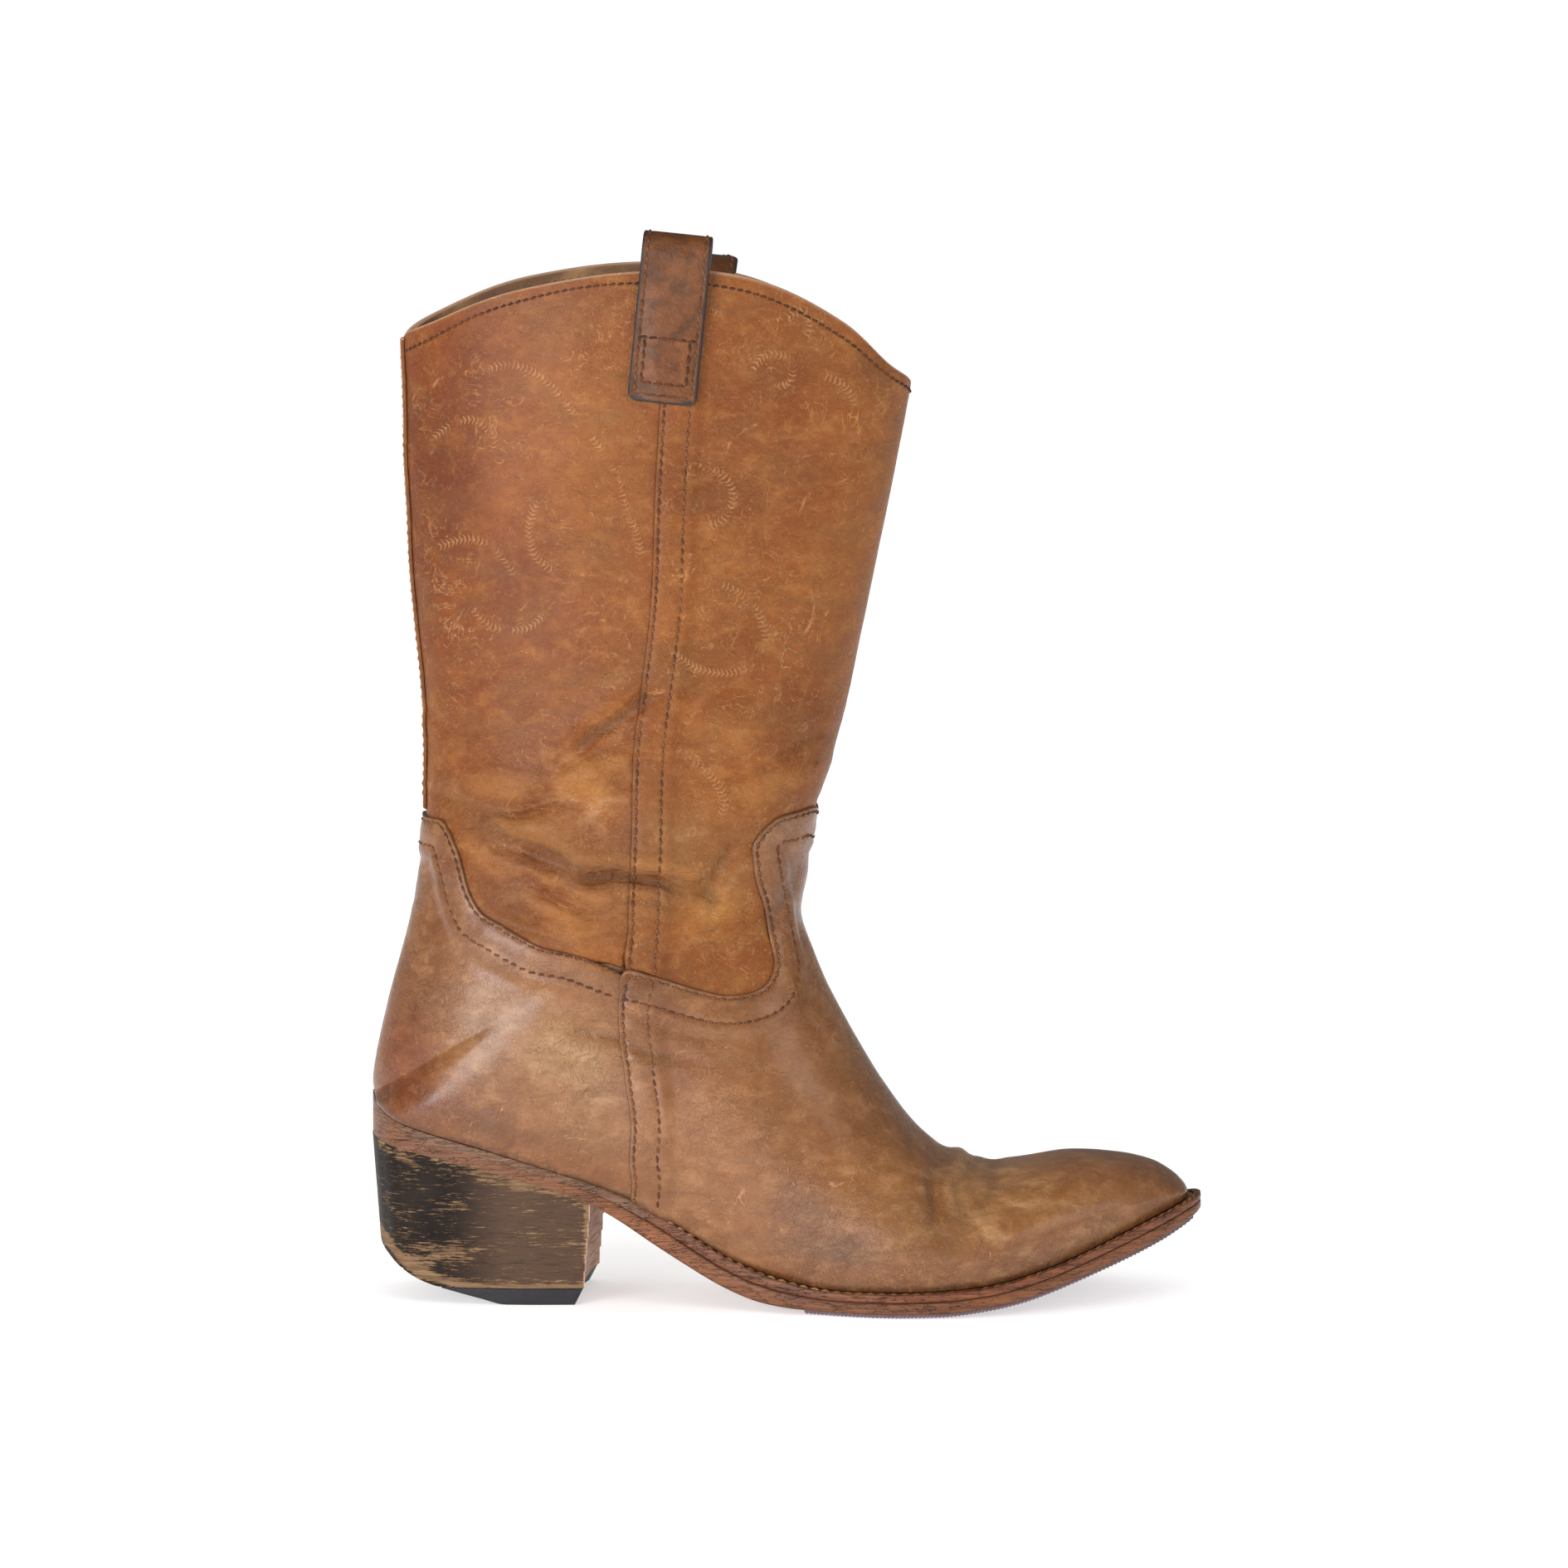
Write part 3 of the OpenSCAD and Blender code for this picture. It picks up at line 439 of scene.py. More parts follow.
class Panel:
    """One cut piece of leather: its grid on the last and its outer face."""

    def __init__(self, ws, rs, place, height, thickness, edge=0.9):
        self.w, self.r = np.meshgrid(ws, rs)
        self.t, self.v = place(self.w, self.r)
        self.p = last(self.t, self.v)
        self.n = outward(self.t, self.v)
        self.low, self.high, self.left, self.right = edge_distance(self.p)
        self.border = np.minimum.reduce([self.low, self.high, self.left, self.right])
        not_on_top = self.high + 9 * (self.t > TOP_HALF)
        self.painted = np.minimum.reduce([self.low, self.left, self.right, not_on_top])
        self.seam = seam_distance(self.p, self.v, SEAMS)
        self.yoke = seam_distance(self.p, self.v, YOKES)
        self.relief = relief(self.p, self.v)
        self.rise = height(self) + self.relief
        thick = thickness(self) if callable(thickness) else thickness
        drop = round_off(self.border, edge)
        self.outer = self.p + self.n * (self.rise - drop)[..., None]
        self.inner = self.p + self.n * (self.rise - thick + 0.3 * drop)[..., None]

    def mesh(self, name, replaces, slot, material, colour=None):
        clear = np.clip(self.p[..., 2] - seat(self.p[..., 0]), 0, 60)
        attributes = {"edge_mm": np.concatenate([self.painted.ravel(), np.zeros(self.w.size)]),
                      "feather_mm": doubled(clear), "fold": doubled(self.relief),
                      "rim": doubled(np.clip(1.4 - self.high / 0.6, 0, 1) * (self.t > TOP_HALF))}
        attributes.update({key: doubled(values) for key, values in tooling(self.p, self.v).items()})
        if colour is not None:
            attributes["tint"] = doubled(colour)
        points = np.concatenate([self.outer.reshape(-1, 3), self.inner.reshape(-1, 3)])
        return make(name, points, closed_sheet_faces(*self.w.shape), replaces, material, attributes)


# Faint curved tooling on the shaft: (x, z) points of each line, with hatching or plain
TOOLED = [
    ([(-96, 300), (-86, 303), (-76, 299), (-69, 292), (-64, 285)], 1),
    ([(-62, 283), (-54, 272), (-49, 258), (-45, 247), (-44, 236)], 1),
    ([(-28, 272), (-18, 268), (-15, 260), (-20, 253), (-31, 251)], 1),
    ([(-18, 272), (-15, 280), (-4, 285), (10, 283)], 0),
    ([(-4, 260), (2, 270), (13, 275), (29, 270)], 0),
    ([(5, 253), (9, 262), (20, 266), (29, 264)], 0),
    ([(0, 317), (7, 320), (9, 314), (3, 311)], 1),
    ([(-10, 300), (-5, 306), (3, 305), (3, 298), (-3, 295)], 1),
    ([(-114, 276), (-106, 283), (-98, 285), (-92, 280), (-93, 273)], 1),
    ([(-112, 243), (-100, 247), (-90, 243), (-84, 234)], 1),
    ([(-76, 262), (-80, 252), (-78, 242), (-70, 236)], 1),
    ([(-66, 216), (-58, 222), (-50, 219), (-48, 210), (-55, 206)], 0),
    ([(-108, 300), (-113, 292), (-108, 286), (-101, 290)], 0),
    ([(-26, 236), (-15, 232), (-7, 224), (-4, 213)], 1),
    ([(2, 240), (9, 232), (10, 222), (5, 214)], 0),
    ([(-36, 214), (-27, 207), (-16, 205), (-8, 208)], 1),
    ([(-100, 226), (-92, 219), (-81, 219), (-74, 225)], 1),
    ([(12, 300), (20, 296), (25, 288)], 1),
    ([(-30, 178), (-22, 172), (-18, 164), (-20, 157)], 1),
]


def tooling(p, v):
    """Attributes of the tooled lines: distance from the nearest, place along it, hatched or not."""
    x = np.where(v < 0, p[..., 0], -40 - (p[..., 0] + 40) * 0.97)
    xz = np.stack([x, p[..., 2] + np.where(v < 0, 0, 4)], -1)
    best = np.full(p.shape[:-1], 30.0)
    run = np.zeros(p.shape[:-1])
    hatched = np.zeros(p.shape[:-1])
    for points, hatch in TOOLED:
        line = fine(points, 30)
        d, s = near(xz, line)
        d = d + 6 * smooth(np.abs(s - 0.5) * 2, 0.86, 1.0)
        closer = d < best
        best[closer], run[closer], hatched[closer] = d[closer], s[closer] * run_along(line)[-1], hatch
    return {"tool_mm": best, "tool_run": run, "tool_hatch": hatched}


# ---------------------------------------------------------------- where the panels lie
def sign(w):
    return np.where(w < 0, -1.0, 1.0)


def top_station(v):
    q = np.abs(v)
    outer = graph(TOP_LINE[:, 0], TOP_LINE[:, 1], q)
    return np.where(v < 0, outer, graph(TOP_LINE[:, 0], TOP_LINE[:, 2], q))


def seam_arc(t):
    return graph(SEAM_HIGH[:, 0], SEAM_HIGH[:, 1], t)


def vamp_place(w, r):
    q = np.abs(w)
    row = [graph(VAMP_ROW[:, 0], VAMP_ROW[:, k], q) for k in (1, 2)]
    edge = [graph(VAMP_EDGE[:, 0], VAMP_EDGE[:, k], q) for k in (1, 2)]
    a = (r - VAMP_BODY) / (VAMP_LAP - VAMP_BODY)
    b = (r - VAMP_LAP) / (1 - VAMP_LAP)
    low = r < VAMP_BODY
    mid = r < VAMP_LAP
    t = np.where(low, mix(0.02, VAMP_BASE, r / VAMP_BODY),
                 np.where(mid, mix(VAMP_BASE, row[0], a), mix(row[0], edge[0], b)))
    v = np.where(low, q, np.where(mid, mix(q, row[1], a), mix(row[1], edge[1], b)))
    return t, sign(w) * v


def counter_place(w, r):
    s = 1 - np.abs(w)
    e = along(COUNTER_TOP, s)
    seam = along(SEAM_LOW, 1 - r)
    foot, corner = SEAM_LOW[-1], COUNTER_TOP[0]
    t = mix(mix(foot[0], HEEL, s), e[..., 0], r)
    v = mix(1, e[..., 1], r)
    k = np.abs(w) ** 12
    t = t + k * (seam[..., 0] - mix(foot[0], corner[0], r) - 0.3)
    return t, sign(w) * (v + k * (seam[..., 1] - mix(foot[1], corner[1], r)))


def shaft_front_place(w, r):
    q = np.abs(w)
    low = along(TONGUE, q)
    t = mix(low[..., 0] - mix(0.25, 0, smooth(q, 0.85, 0.95)), top_station(w * SEAM_V), r)
    return t, sign(w) * mix(low[..., 1], q * seam_arc(t), smooth(r, 0, 0.25))


def shaft_back_place(w, r):
    s = 1 - np.abs(w)
    low = along(COUNTER_TOP, s)
    t0 = low[..., 0] - mix(0, 0.3, smooth(s, 0.02, 0.1))
    t = mix(t0, top_station(sign(w) * mix(1, SEAM_V, np.abs(w))), r)
    v = mix(1, seam_arc(t) - 0.045, np.abs(w))
    return t, sign(w) * mix(low[..., 1], v, smooth(r, 0, 0.3))


def seam_lap(panel):
    return lap_height(panel.seam) + channel(panel.seam)


def yoke_lap(panel):
    return lap_height(panel.yoke) + channel(panel.yoke)


def both_laps(panel):
    return seam_lap(panel) + yoke_lap(panel)


def skived(distance):
    return mix(LAP - 0.1, LEATHER, smooth(distance, LAP_W - 2, LAP_W + 3))


# ---------------------------------------------------------------- node helpers for materials
class Signal:
    """An output socket that can be added to, taken from and multiplied, each by a Math node."""

    def __init__(self, nodes, socket):
        self.nodes, self.socket = nodes, socket

    def __add__(self, other):
        return self.nodes.math("ADD", self, other)

    def __sub__(self, other):
        return self.nodes.math("SUBTRACT", self, other)

    def __rsub__(self, other):
        return self.nodes.math("SUBTRACT", other, self)

    def __mul__(self, other):
        return self.nodes.math("MULTIPLY", self, other)


class Nodes:
    """Short calls for building one material: colours are laid over each other, bumps are stacked."""

    def __init__(self, name, colour):
        self.material = bpy.data.materials.new(name)
        self.material.use_nodes = True
        self.tree = self.material.node_tree
        self.place = self.add("ShaderNodeTexCoord").outputs["Object"]
        self.colour, self.normal = colour, None

    def add(self, kind, inputs=(), **settings):
        node = self.tree.nodes.new(kind)
        for key, value in settings.items():
            setattr(node, key, value)
        for key, value in dict(inputs).items():
            self.put(node.inputs[key], value)
        return node

    def put(self, socket, value):
        value = getattr(value, "socket", value)
        if isinstance(value, bpy.types.NodeSocket):
            self.tree.links.new(value, socket)
        else:
            socket.default_value = (*value, 1) if socket.type == "RGBA" else value

    def math(self, operation, a, b=0.0):
        return Signal(self, self.add("ShaderNodeMath", {0: a, 1: b}, operation=operation).outputs[0])

    def larger(self, a, b):
        return self.math("MAXIMUM", a, b)

    def scaled(self, scale, stretch=(1, 1, 1), vector=None):
        """Coordinates with a scale in cycles per millimetre."""
        size = tuple(scale / MM * s for s in stretch)
        return self.add("ShaderNodeMapping", {"Vector": vector or self.place, "Scale": size}).outputs[0]

    def noise(self, scale, detail, rough, distort=0.0, stretch=(1, 1, 1), vector=None):
        node = self.add("ShaderNodeTexNoise", {
            "Vector": self.scaled(scale, stretch, vector), "Scale": 1.0, "Detail": detail,
            "Roughness": rough, "Distortion": distort})
        return Signal(self, node.outputs["Fac"])

    def cells(self, scale):
        node = self.add("ShaderNodeTexVoronoi", {"Vector": self.scaled(scale), "Scale": 1.0})
        return node.outputs["Distance"]

    def bent(self, amount, scale):
        """Object coordinates pushed about by noise, for wandering lines; amount is in millimetres."""
        push = self.add("ShaderNodeTexNoise", {"Vector": self.scaled(scale), "Scale": 1.0, "Detail": 3.0})
        shift = self.add("ShaderNodeVectorMath", {0: push.outputs["Color"], 1: (amount * MM,) * 3,
                                                  2: self.place}, operation="MULTIPLY_ADD")
        return shift.outputs[0]

    def attribute(self, name):
        return Signal(self, self.add("ShaderNodeAttribute", attribute_name=name).outputs["Fac"])

    def step(self, value, low, high, to_low=0.0, to_high=1.0):
        """Smooth step of a value between two levels."""
        node = self.add("ShaderNodeMapRange", enumerate((value, low, high, to_low, to_high)),
                        interpolation_type="SMOOTHSTEP")
        return Signal(self, node.outputs[0])

    def line(self, value, width):
        """1 on the middle of a noise value, falling off to both sides: thin wandering lines."""
        return self.step(self.math("ABSOLUTE", value - 0.5), 0.0, width, 1.0, 0.0)

    def blend(self, a, b, amount, mode="MIX"):
        node = self.add("ShaderNodeMix", {"Factor": amount, "A": a, "B": b}, data_type="RGBA",
                        blend_type=mode)
        return node.outputs["Result"]

    def lay(self, colour, amount, mode="MIX"):
        self.colour = self.blend(self.colour, colour, amount, mode)

    def tint(self):
        """Multiply by the colour that the mesh carries."""
        self.lay(self.add("ShaderNodeAttribute", attribute_name="tint").outputs["Color"], 1.0, "MULTIPLY")

    def bump(self, value, depth):
        """Stack a bump on the ones before; depth is in millimetres."""
        inputs = {"Strength": 1.0, "Distance": depth * MM, "Height": value}
        if self.normal is not None:
            inputs["Normal"] = self.normal
        self.normal = self.add("ShaderNodeBump", inputs).outputs["Normal"]

    def finish(self, roughness, **sockets):
        shader = self.tree.nodes["Principled BSDF"]
        self.put(shader.inputs["Base Color"], self.colour)
        self.put(shader.inputs["Roughness"], roughness)
        if self.normal is not None:
            self.put(shader.inputs["Normal"], self.normal)
        for key, value in sockets.items():
            self.put(shader.inputs[key.replace("_", " ")], value)
        return self.material


def rgb(r, g, b):
    """A colour given as seen, 0 to 255, in the linear values that shaders use."""
    return tuple(((c / 255 + 0.055) / 1.055) ** 2.4 if c > 10 else c / 255 / 12.92 for c in (r, g, b))


# ---------------------------------------------------------------- materials
# Brown for dirt along the edges and the feather line, and for painted shade in the creases.
DIRT_AND_CREASE_SHADE = rgb(80, 50, 30)


def worn_leather(name, base, deep, pale, dusky, wrinkles, rough, coat, shine):
    """Waxed tan leather: mottling, pores, wrinkle lines, pale scratches, tooling, dirt in the seams, painted
    shade in the creases and painted highlights on the fold ridges.
    """
    n = Nodes(name, base)
    faint = tuple(mix(np.array(pale), rgb(204, 152, 104), 0.7))
    bent, wander = n.bent(9, 0.05), n.bent(5, 0.03)

    mottle = n.noise(0.14, 7, 0.62, 0.4, (0.8, 1, 1.2))
    fibre = n.noise(0.8, 6, 0.72, 0.8, (0.85, 1, 1.2), bent)
    n.lay(deep, n.step(n.noise(0.018, 5, 0.6), 0.35, 0.72))
    n.lay(pale, n.step(mottle, 0.45, 0.75) * 0.48)
    n.lay(deep, n.step(mottle, 0.5, 0.25) * 0.48)
    n.lay(pale, n.step(fibre, 0.5, 0.72) * (0.28 * wrinkles))
    n.lay(deep, n.step(fibre, 0.48, 0.3) * (0.28 * wrinkles))
    n.tint()

    veins = n.line(n.noise(0.085, 5, 0.62, 1.4, (1, 1, 1.15), bent), 0.018)
    fine_veins = n.line(n.noise(0.26, 4, 0.6, 1.1, (0.9, 1, 1.2), bent), 0.02)
    patches = n.step(n.noise(0.03, 4, 0.6), 0.36, 0.66, 0.25, 1.0)
    lines = n.larger(veins, fine_veins * 0.5) * patches
    n.lay(faint, lines * (0.64 * wrinkles))
    n.lay(deep, n.line(n.noise(0.06, 5, 0.62, 1.2, (0.8, 1, 1.4), bent), 0.012) * 0.35)
    n.lay(dusky, n.step(n.noise(0.045, 5, 0.62, 0.5, (0.7, 1, 1.5)), 0.44, 0.74) * 0.4)

    long_scratch = n.larger(n.line(n.noise(0.06, 2, 0.4, 0.2, (0.35, 1, 2.6), wander), 0.003),
                            n.line(n.noise(0.09, 2, 0.4, 0.4, (1.6, 1, 0.5), wander), 0.0035))
    rare = n.step(n.noise(0.05, 3, 0.6, 0, (1.3, 1, 0.8)), 0.48, 0.56)
    hairs = n.larger(n.line(n.noise(0.22, 2, 0.4, 0.3, (1.5, 1, 0.35), wander), 0.005),
                     n.line(n.noise(0.2, 2, 0.4, 0.3, (0.5, 1, 1.4), wander), 0.005))
    in_places = n.step(n.noise(0.07, 3, 0.6), 0.5, 0.62)
    scratch = n.larger(long_scratch * rare, hairs * in_places * 0.7)
    n.lay(pale, scratch * 0.9)

    tool, hatch = n.attribute("tool_mm"), n.attribute("tool_hatch")
    teeth = n.math("SINE", (tool * 0.7 + n.attribute("tool_run")) * 4.3)
    comb = n.step(teeth, -0.1, 0.7) * n.step(tool, 1.7, 0.9)
    plain = n.step(tool, 0.75, 0.1) * (1.0 - hatch * 0.7)
    tooled = (comb * hatch + plain) * n.step(n.noise(0.12, 3, 0.5), 0.36, 0.52)
    n.lay(faint, tooled * 0.42)

    fold = n.attribute("fold")
    dirt = n.noise(0.4, 4, 0.6)
    # Painted shade in the sunken folds and a painted highlight on their raised ridges.
    n.lay(DIRT_AND_CREASE_SHADE, n.step(fold, -1.3, -0.3, 1.0, 0.0) * 0.42)
    n.lay(pale, n.step(fold, 0.5, 1.7) * 0.4)
    n.lay(DIRT_AND_CREASE_SHADE, n.step(n.attribute("edge_mm"), 0.8, 0.15) * n.step(dirt, 0.2, 0.5) * 0.6)
    n.lay(DIRT_AND_CREASE_SHADE, n.step(n.attribute("feather_mm"), 3.2, 0.6) * n.step(dirt, 0.25, 0.6) * 0.75)
    n.lay(rgb(190, 150, 118), n.attribute("rim"))

    creases = n.noise(0.2, 7, 0.6, 1.0, (0.75, 1, 1.3), bent)
    crumple = n.step(n.math("ABSOLUTE", fold), 0.1, 0.8)
    n.bump(n.cells(1.9), 0.05)
    n.bump(n.noise(0.9, 6, 0.68, 0.3), 0.2 * wrinkles)
    n.bump(lines, 0.16)
    n.bump(tooled * -1.0, 0.2)
    n.bump(creases * (crumple * 0.7 + 0.5), 0.95 * wrinkles)
    n.bump(scratch * -1.0, 0.1)
    gloss = n.step(mottle, 0.3, 0.7) * 0.14 + (rough - 0.07) + lines * 0.12
    return n.finish(gloss, Coat_Weight=coat, Coat_Roughness=0.24, Specular_IOR_Level=shine)


def strap_leather(name):
    """Darker, smoother leather with a ragged black edge."""
    n = Nodes(name, rgb(106, 61, 27))
    mottle = n.noise(0.14, 5, 0.6, 0.4)
    n.lay(rgb(77, 44, 19), n.step(mottle, 0.36, 0.68))
    n.lay(rgb(132, 84, 54), n.step(n.noise(0.7, 5, 0.7), 0.54, 0.76) * 0.4)
    n.tint()
    ragged = n.noise(0.5, 4, 0.6) * 0.9 + (n.attribute("edge_mm") - 0.45)
    n.lay(rgb(50, 42, 38), n.step(ragged, 1.15, 0.6))
    n.bump(n.cells(1.8), 0.05)
    n.bump(n.noise(0.8, 6, 0.65), 0.18)
    n.bump(n.noise(0.22, 5, 0.6, 1.0, (1, 1, 1.8)), 0.5)
    return n.finish(mottle * 0.22 + 0.3, Coat_Weight=0.08, Coat_Roughness=0.28, Specular_IOR_Level=0.28)


def lining_leather(name):
    """Bare light leather, grimy along the top."""
    n = Nodes(name, rgb(164, 126, 84))
    mottle = n.noise(0.05, 5, 0.6, 0.3)
    n.lay(rgb(136, 98, 62), n.step(mottle, 0.4, 0.66))
    n.lay(rgb(106, 72, 46), n.step(n.noise(0.3, 5, 0.65), 0.56, 0.8) * 0.35)
    n.lay(rgb(112, 80, 54), n.step(n.attribute("edge_mm"), 5, 0.5) * n.step(mottle, 0.3, 0.6))
    n.lay(rgb(170, 136, 108), n.attribute("rim"))
    n.bump(n.noise(1.0, 6, 0.7), 0.18)
    n.bump(n.noise(0.12, 4, 0.55, 0.8), 0.6)
    return n.finish(mottle * 0.2 + 0.55)


def sole_leather(name, base, dark):
    """Cut edge or face of sole leather, with lines along its layers."""
    n = Nodes(name, base)
    layers = n.noise(1.0, 6, 0.65, 0.2, (0.06, 0.06, 1.3), n.bent(0.8, 0.05))
    blot = n.noise(0.07, 5, 0.6)
    n.lay(dark, n.step(layers, 0.42, 0.68))
    n.lay(dark, n.step(blot, 0.48, 0.7) * 0.6)
    n.lay(tuple(c * 1.45 for c in base), n.step(layers, 0.46, 0.3) * 0.4)
    n.tint()
    nicks = n.line(n.noise(0.25, 4, 0.6, 0.8, (0.5, 0.5, 2.5)), 0.02)
    n.lay(rgb(60, 36, 26), nicks * n.step(blot, 0.4, 0.6))
    n.lay(rgb(58, 36, 26), n.step(n.attribute("groove"), 0.1, 0.9) * 0.5)
    n.bump(layers, 0.28)
    n.bump(n.noise(0.9, 5, 0.7), 0.12)
    n.bump(nicks * -1.0, 0.12)
    return n.finish(layers * 0.22 + 0.32, Coat_Weight=0.06, Coat_Roughness=0.35, Specular_IOR_Level=0.3)


def painted_stack(name):
    """Heel leather under dark paint that has worn off in short level streaks and at the edges."""
    n = Nodes(name, rgb(22, 15, 11))
    bent = n.bent(0.8, 0.1)
    long_grain = n.noise(1.0, 6, 0.6, 0.15, (0.07, 0.07, 1.1), bent)
    fine_grain = n.noise(1.0, 6, 0.72, 0.1, (0.16, 0.16, 2.4), bent)
    bare = n.blend(rgb(142, 114, 84), rgb(106, 80, 58), n.step(long_grain, 0.36, 0.66))
    bare = n.blend(bare, rgb(156, 126, 92), n.step(fine_grain, 0.5, 0.72) * 0.5)
    n.lay(rgb(36, 27, 20), n.step(n.noise(0.05, 3, 0.5), 0.35, 0.6))
    n.lay(rgb(84, 64, 50), n.step(n.attribute("front"), 0.1, 0.9))
    n.lay(rgb(30, 23, 20), n.step(fine_grain, 0.5, 0.32) * 0.55)
    n.lay(rgb(98, 76, 56), n.step(fine_grain, 0.56, 0.74) * 0.5)
    ragged = n.noise(0.8, 6, 0.74, 0.6, (0.3, 0.3, 1.7), bent)
    streaks = (fine_grain - 0.5) * 2.0 + (ragged - 0.5) * 1.4
    worn = n.step(n.attribute("wear") + streaks, 0.42, 0.56)
    n.lay(bare, worn * 0.9)
    breast = n.attribute("breast")
    n.lay(n.blend(rgb(208, 170, 148), rgb(160, 122, 100), n.step(long_grain, 0.36, 0.66)), breast)
    outside = 1.0 - breast
    n.bump(fine_grain * outside, 0.2)
    n.bump(worn * (outside * -1.0), 0.1)
    return n.finish(worn * 0.2 + 0.5, Specular_IOR_Level=0.15)


def rubber(name, colour, light, rough=0.62):
    n = Nodes(name, colour)
    dust = n.noise(0.4, 6, 0.7)
    n.lay(light, n.step(dust, 0.5, 0.8) * 0.5)
    n.lay(light, n.line(n.noise(0.2, 4, 0.6, 0.5, (0.3, 0.3, 2)), 0.02) * 0.35)
    n.bump(n.noise(1.4, 5, 0.7), 0.14)
    n.bump(n.noise(0.2, 4, 0.6), 0.3)
    return n.finish(dust * 0.2 + (rough - 0.1))


def thread_material(name, colour, dark):
    n = Nodes(name, colour)
    twist = n.noise(1.4, 3, 0.5, 0, (1, 1, 1.6))
    n.lay(dark, n.step(n.noise(0.12, 3, 0.5), 0.42, 0.62))
    n.lay(dark, n.step(twist, 0.5, 0.7) * 0.6)
    n.tint()
    n.bump(twist, 0.12)
    return n.finish(n.noise(2.4, 4, 0.7) * 0.2 + 0.5, Specular_IOR_Level=0.2)


def plain_leather(name, light, dark, scale=0.2, rough=0.6):
    """Hidden and inner pieces: board, insole, sock and cork."""
    n = Nodes(name, light)
    mottle = n.noise(scale, 6, 0.65, 0.3)
    n.lay(dark, n.step(mottle, 0.4, 0.66))
    n.lay(dark, n.line(n.noise(scale * 2, 4, 0.6, 0.8), 0.03) * 0.6)
    n.bump(n.noise(scale * 5, 5, 0.7), 0.2)
    return n.finish(mottle * 0.2 + (rough - 0.1))


def brushed_steel(name):
    n = Nodes(name, rgb(168, 168, 170))
    brush = n.noise(1.0, 4, 0.6, 0, (0.1, 2, 2))
    n.lay(rgb(128, 126, 124), n.step(brush, 0.4, 0.6))
    n.bump(brush, 0.05)
    return n.finish(brush * 0.25 + 0.25, Metallic=1.0)


SHAFT = worn_leather("shaft_leather", rgb(140, 79, 24), rgb(112, 54, 10), rgb(170, 114, 58),
                     rgb(110, 74, 38), wrinkles=1.0, rough=0.46, coat=0.06, shine=0.26)
FOOT = worn_leather("foot_leather", rgb(136, 86, 42), rgb(104, 58, 22), rgb(172, 124, 80),
                    rgb(112, 80, 50), wrinkles=0.6, rough=0.33, coat=0.35, shine=0.4)
STRAP = strap_leather("strap_leather")
LINING_SKIN = lining_leather("lining_leather")
SOLE = sole_leather("sole_leather", rgb(118, 73, 44), rgb(90, 53, 32))
WELT = sole_leather("welt_leather", rgb(124, 78, 52), rgb(86, 50, 34))
RAND = sole_leather("rand_leather", rgb(116, 84, 62), rgb(86, 58, 42))
STACK = painted_stack("heel_leather")
TOP_LIFT = rubber("top_lift_rubber", rgb(24, 23, 27), rgb(52, 50, 52))
HALF_SOLE = rubber("sole_rubber", rgb(104, 84, 90), rgb(140, 122, 124), 0.7)
BROWN_THREAD = thread_material("brown_thread", rgb(98, 55, 29), rgb(68, 38, 20))
TAN_THREAD = thread_material("tan_thread", rgb(120, 76, 46), rgb(84, 52, 32))
CREAM_THREAD = thread_material("cream_thread", rgb(178, 140, 98), rgb(130, 92, 58))
HOLE = plain_leather("needle_hole", rgb(66, 36, 20), rgb(48, 28, 18), 0.6)


# ---------------------------------------------------------------- colour laid on the panels
def spots(p, table_of_spots):
    """Multiplying colour of soft spots, some of them painted sheen and painted shade: (x, z, width, height,
    turn, colour) seen from the side.
    """
    total = np.ones(p.shape[:-1] + (3,))
    ragged = 1 + 0.35 * wave_noise(p, 12, 31, 3)
    for x, z, wide, high, turn, colour in table_of_spots:
        dx, dz = p[..., 0] - x, p[..., 2] - z
        a = math.radians(turn)
        u, w = dx * math.cos(a) + dz * math.sin(a), -dx * math.sin(a) + dz * math.cos(a)
        weight = np.clip(np.exp(-((u / wide) ** 2 + (w / high) ** 2)) * ragged, 0, 1)[..., None]
        total = total * mix(1.0, np.array(colour), weight)
    return total


SHAFT_SPOTS = [
    # The first spot is painted shade on the back of the upper shaft, where it turns away from the light.
    (-114, 290, 24, 90, 0, (0.68, 0.52, 0.2)), (-98, 240, 24, 50, 0, (0.9, 0.78, 0.44)),
    # The first spot is a painted sheen high on the outer side.
    (-57, 300, 17, 30, 0, (1.06, 1.12, 1.2)), (10, 310, 9, 12, 0, (0.78, 0.8, 0.78)),
    (31, 300, 7, 12, 0, (0.8, 0.82, 0.82)),
    # The first spot is a painted highlight on the swell beside the side seam.
    (-62, 166, 11, 6, -40, (1.7, 2.2, 3.2)), (-40, 142, 50, 16, 0, (0.94, 1.03, 1.6)),
    (-77, 150, 32, 6, -24, (0.72, 0.76, 0.74)), (-73, 121, 20, 7, -20, (1.0, 1.08, 1.12)),
    (-32, 154, 10, 5, 0, (1.12, 1.24, 1.3)), (-60, 150, 55, 26, 0, (0.95, 1.05, 1.35)),
    (-20, 250, 24, 60, 0, (0.94, 0.96, 0.96)), (14, 190, 18, 40, 0, (0.94, 0.94, 0.94)),
    (-24, 131, 12, 10, 0, (1.5, 1.9, 2.05)), (-87, 131, 9, 6, -20, (0.8, 0.82, 0.82)),
    (-55, 270, 15, 18, 0, (0.88, 0.88, 0.88)), (-44, 138, 18, 3, 0, (0.9, 0.88, 0.86)),
]
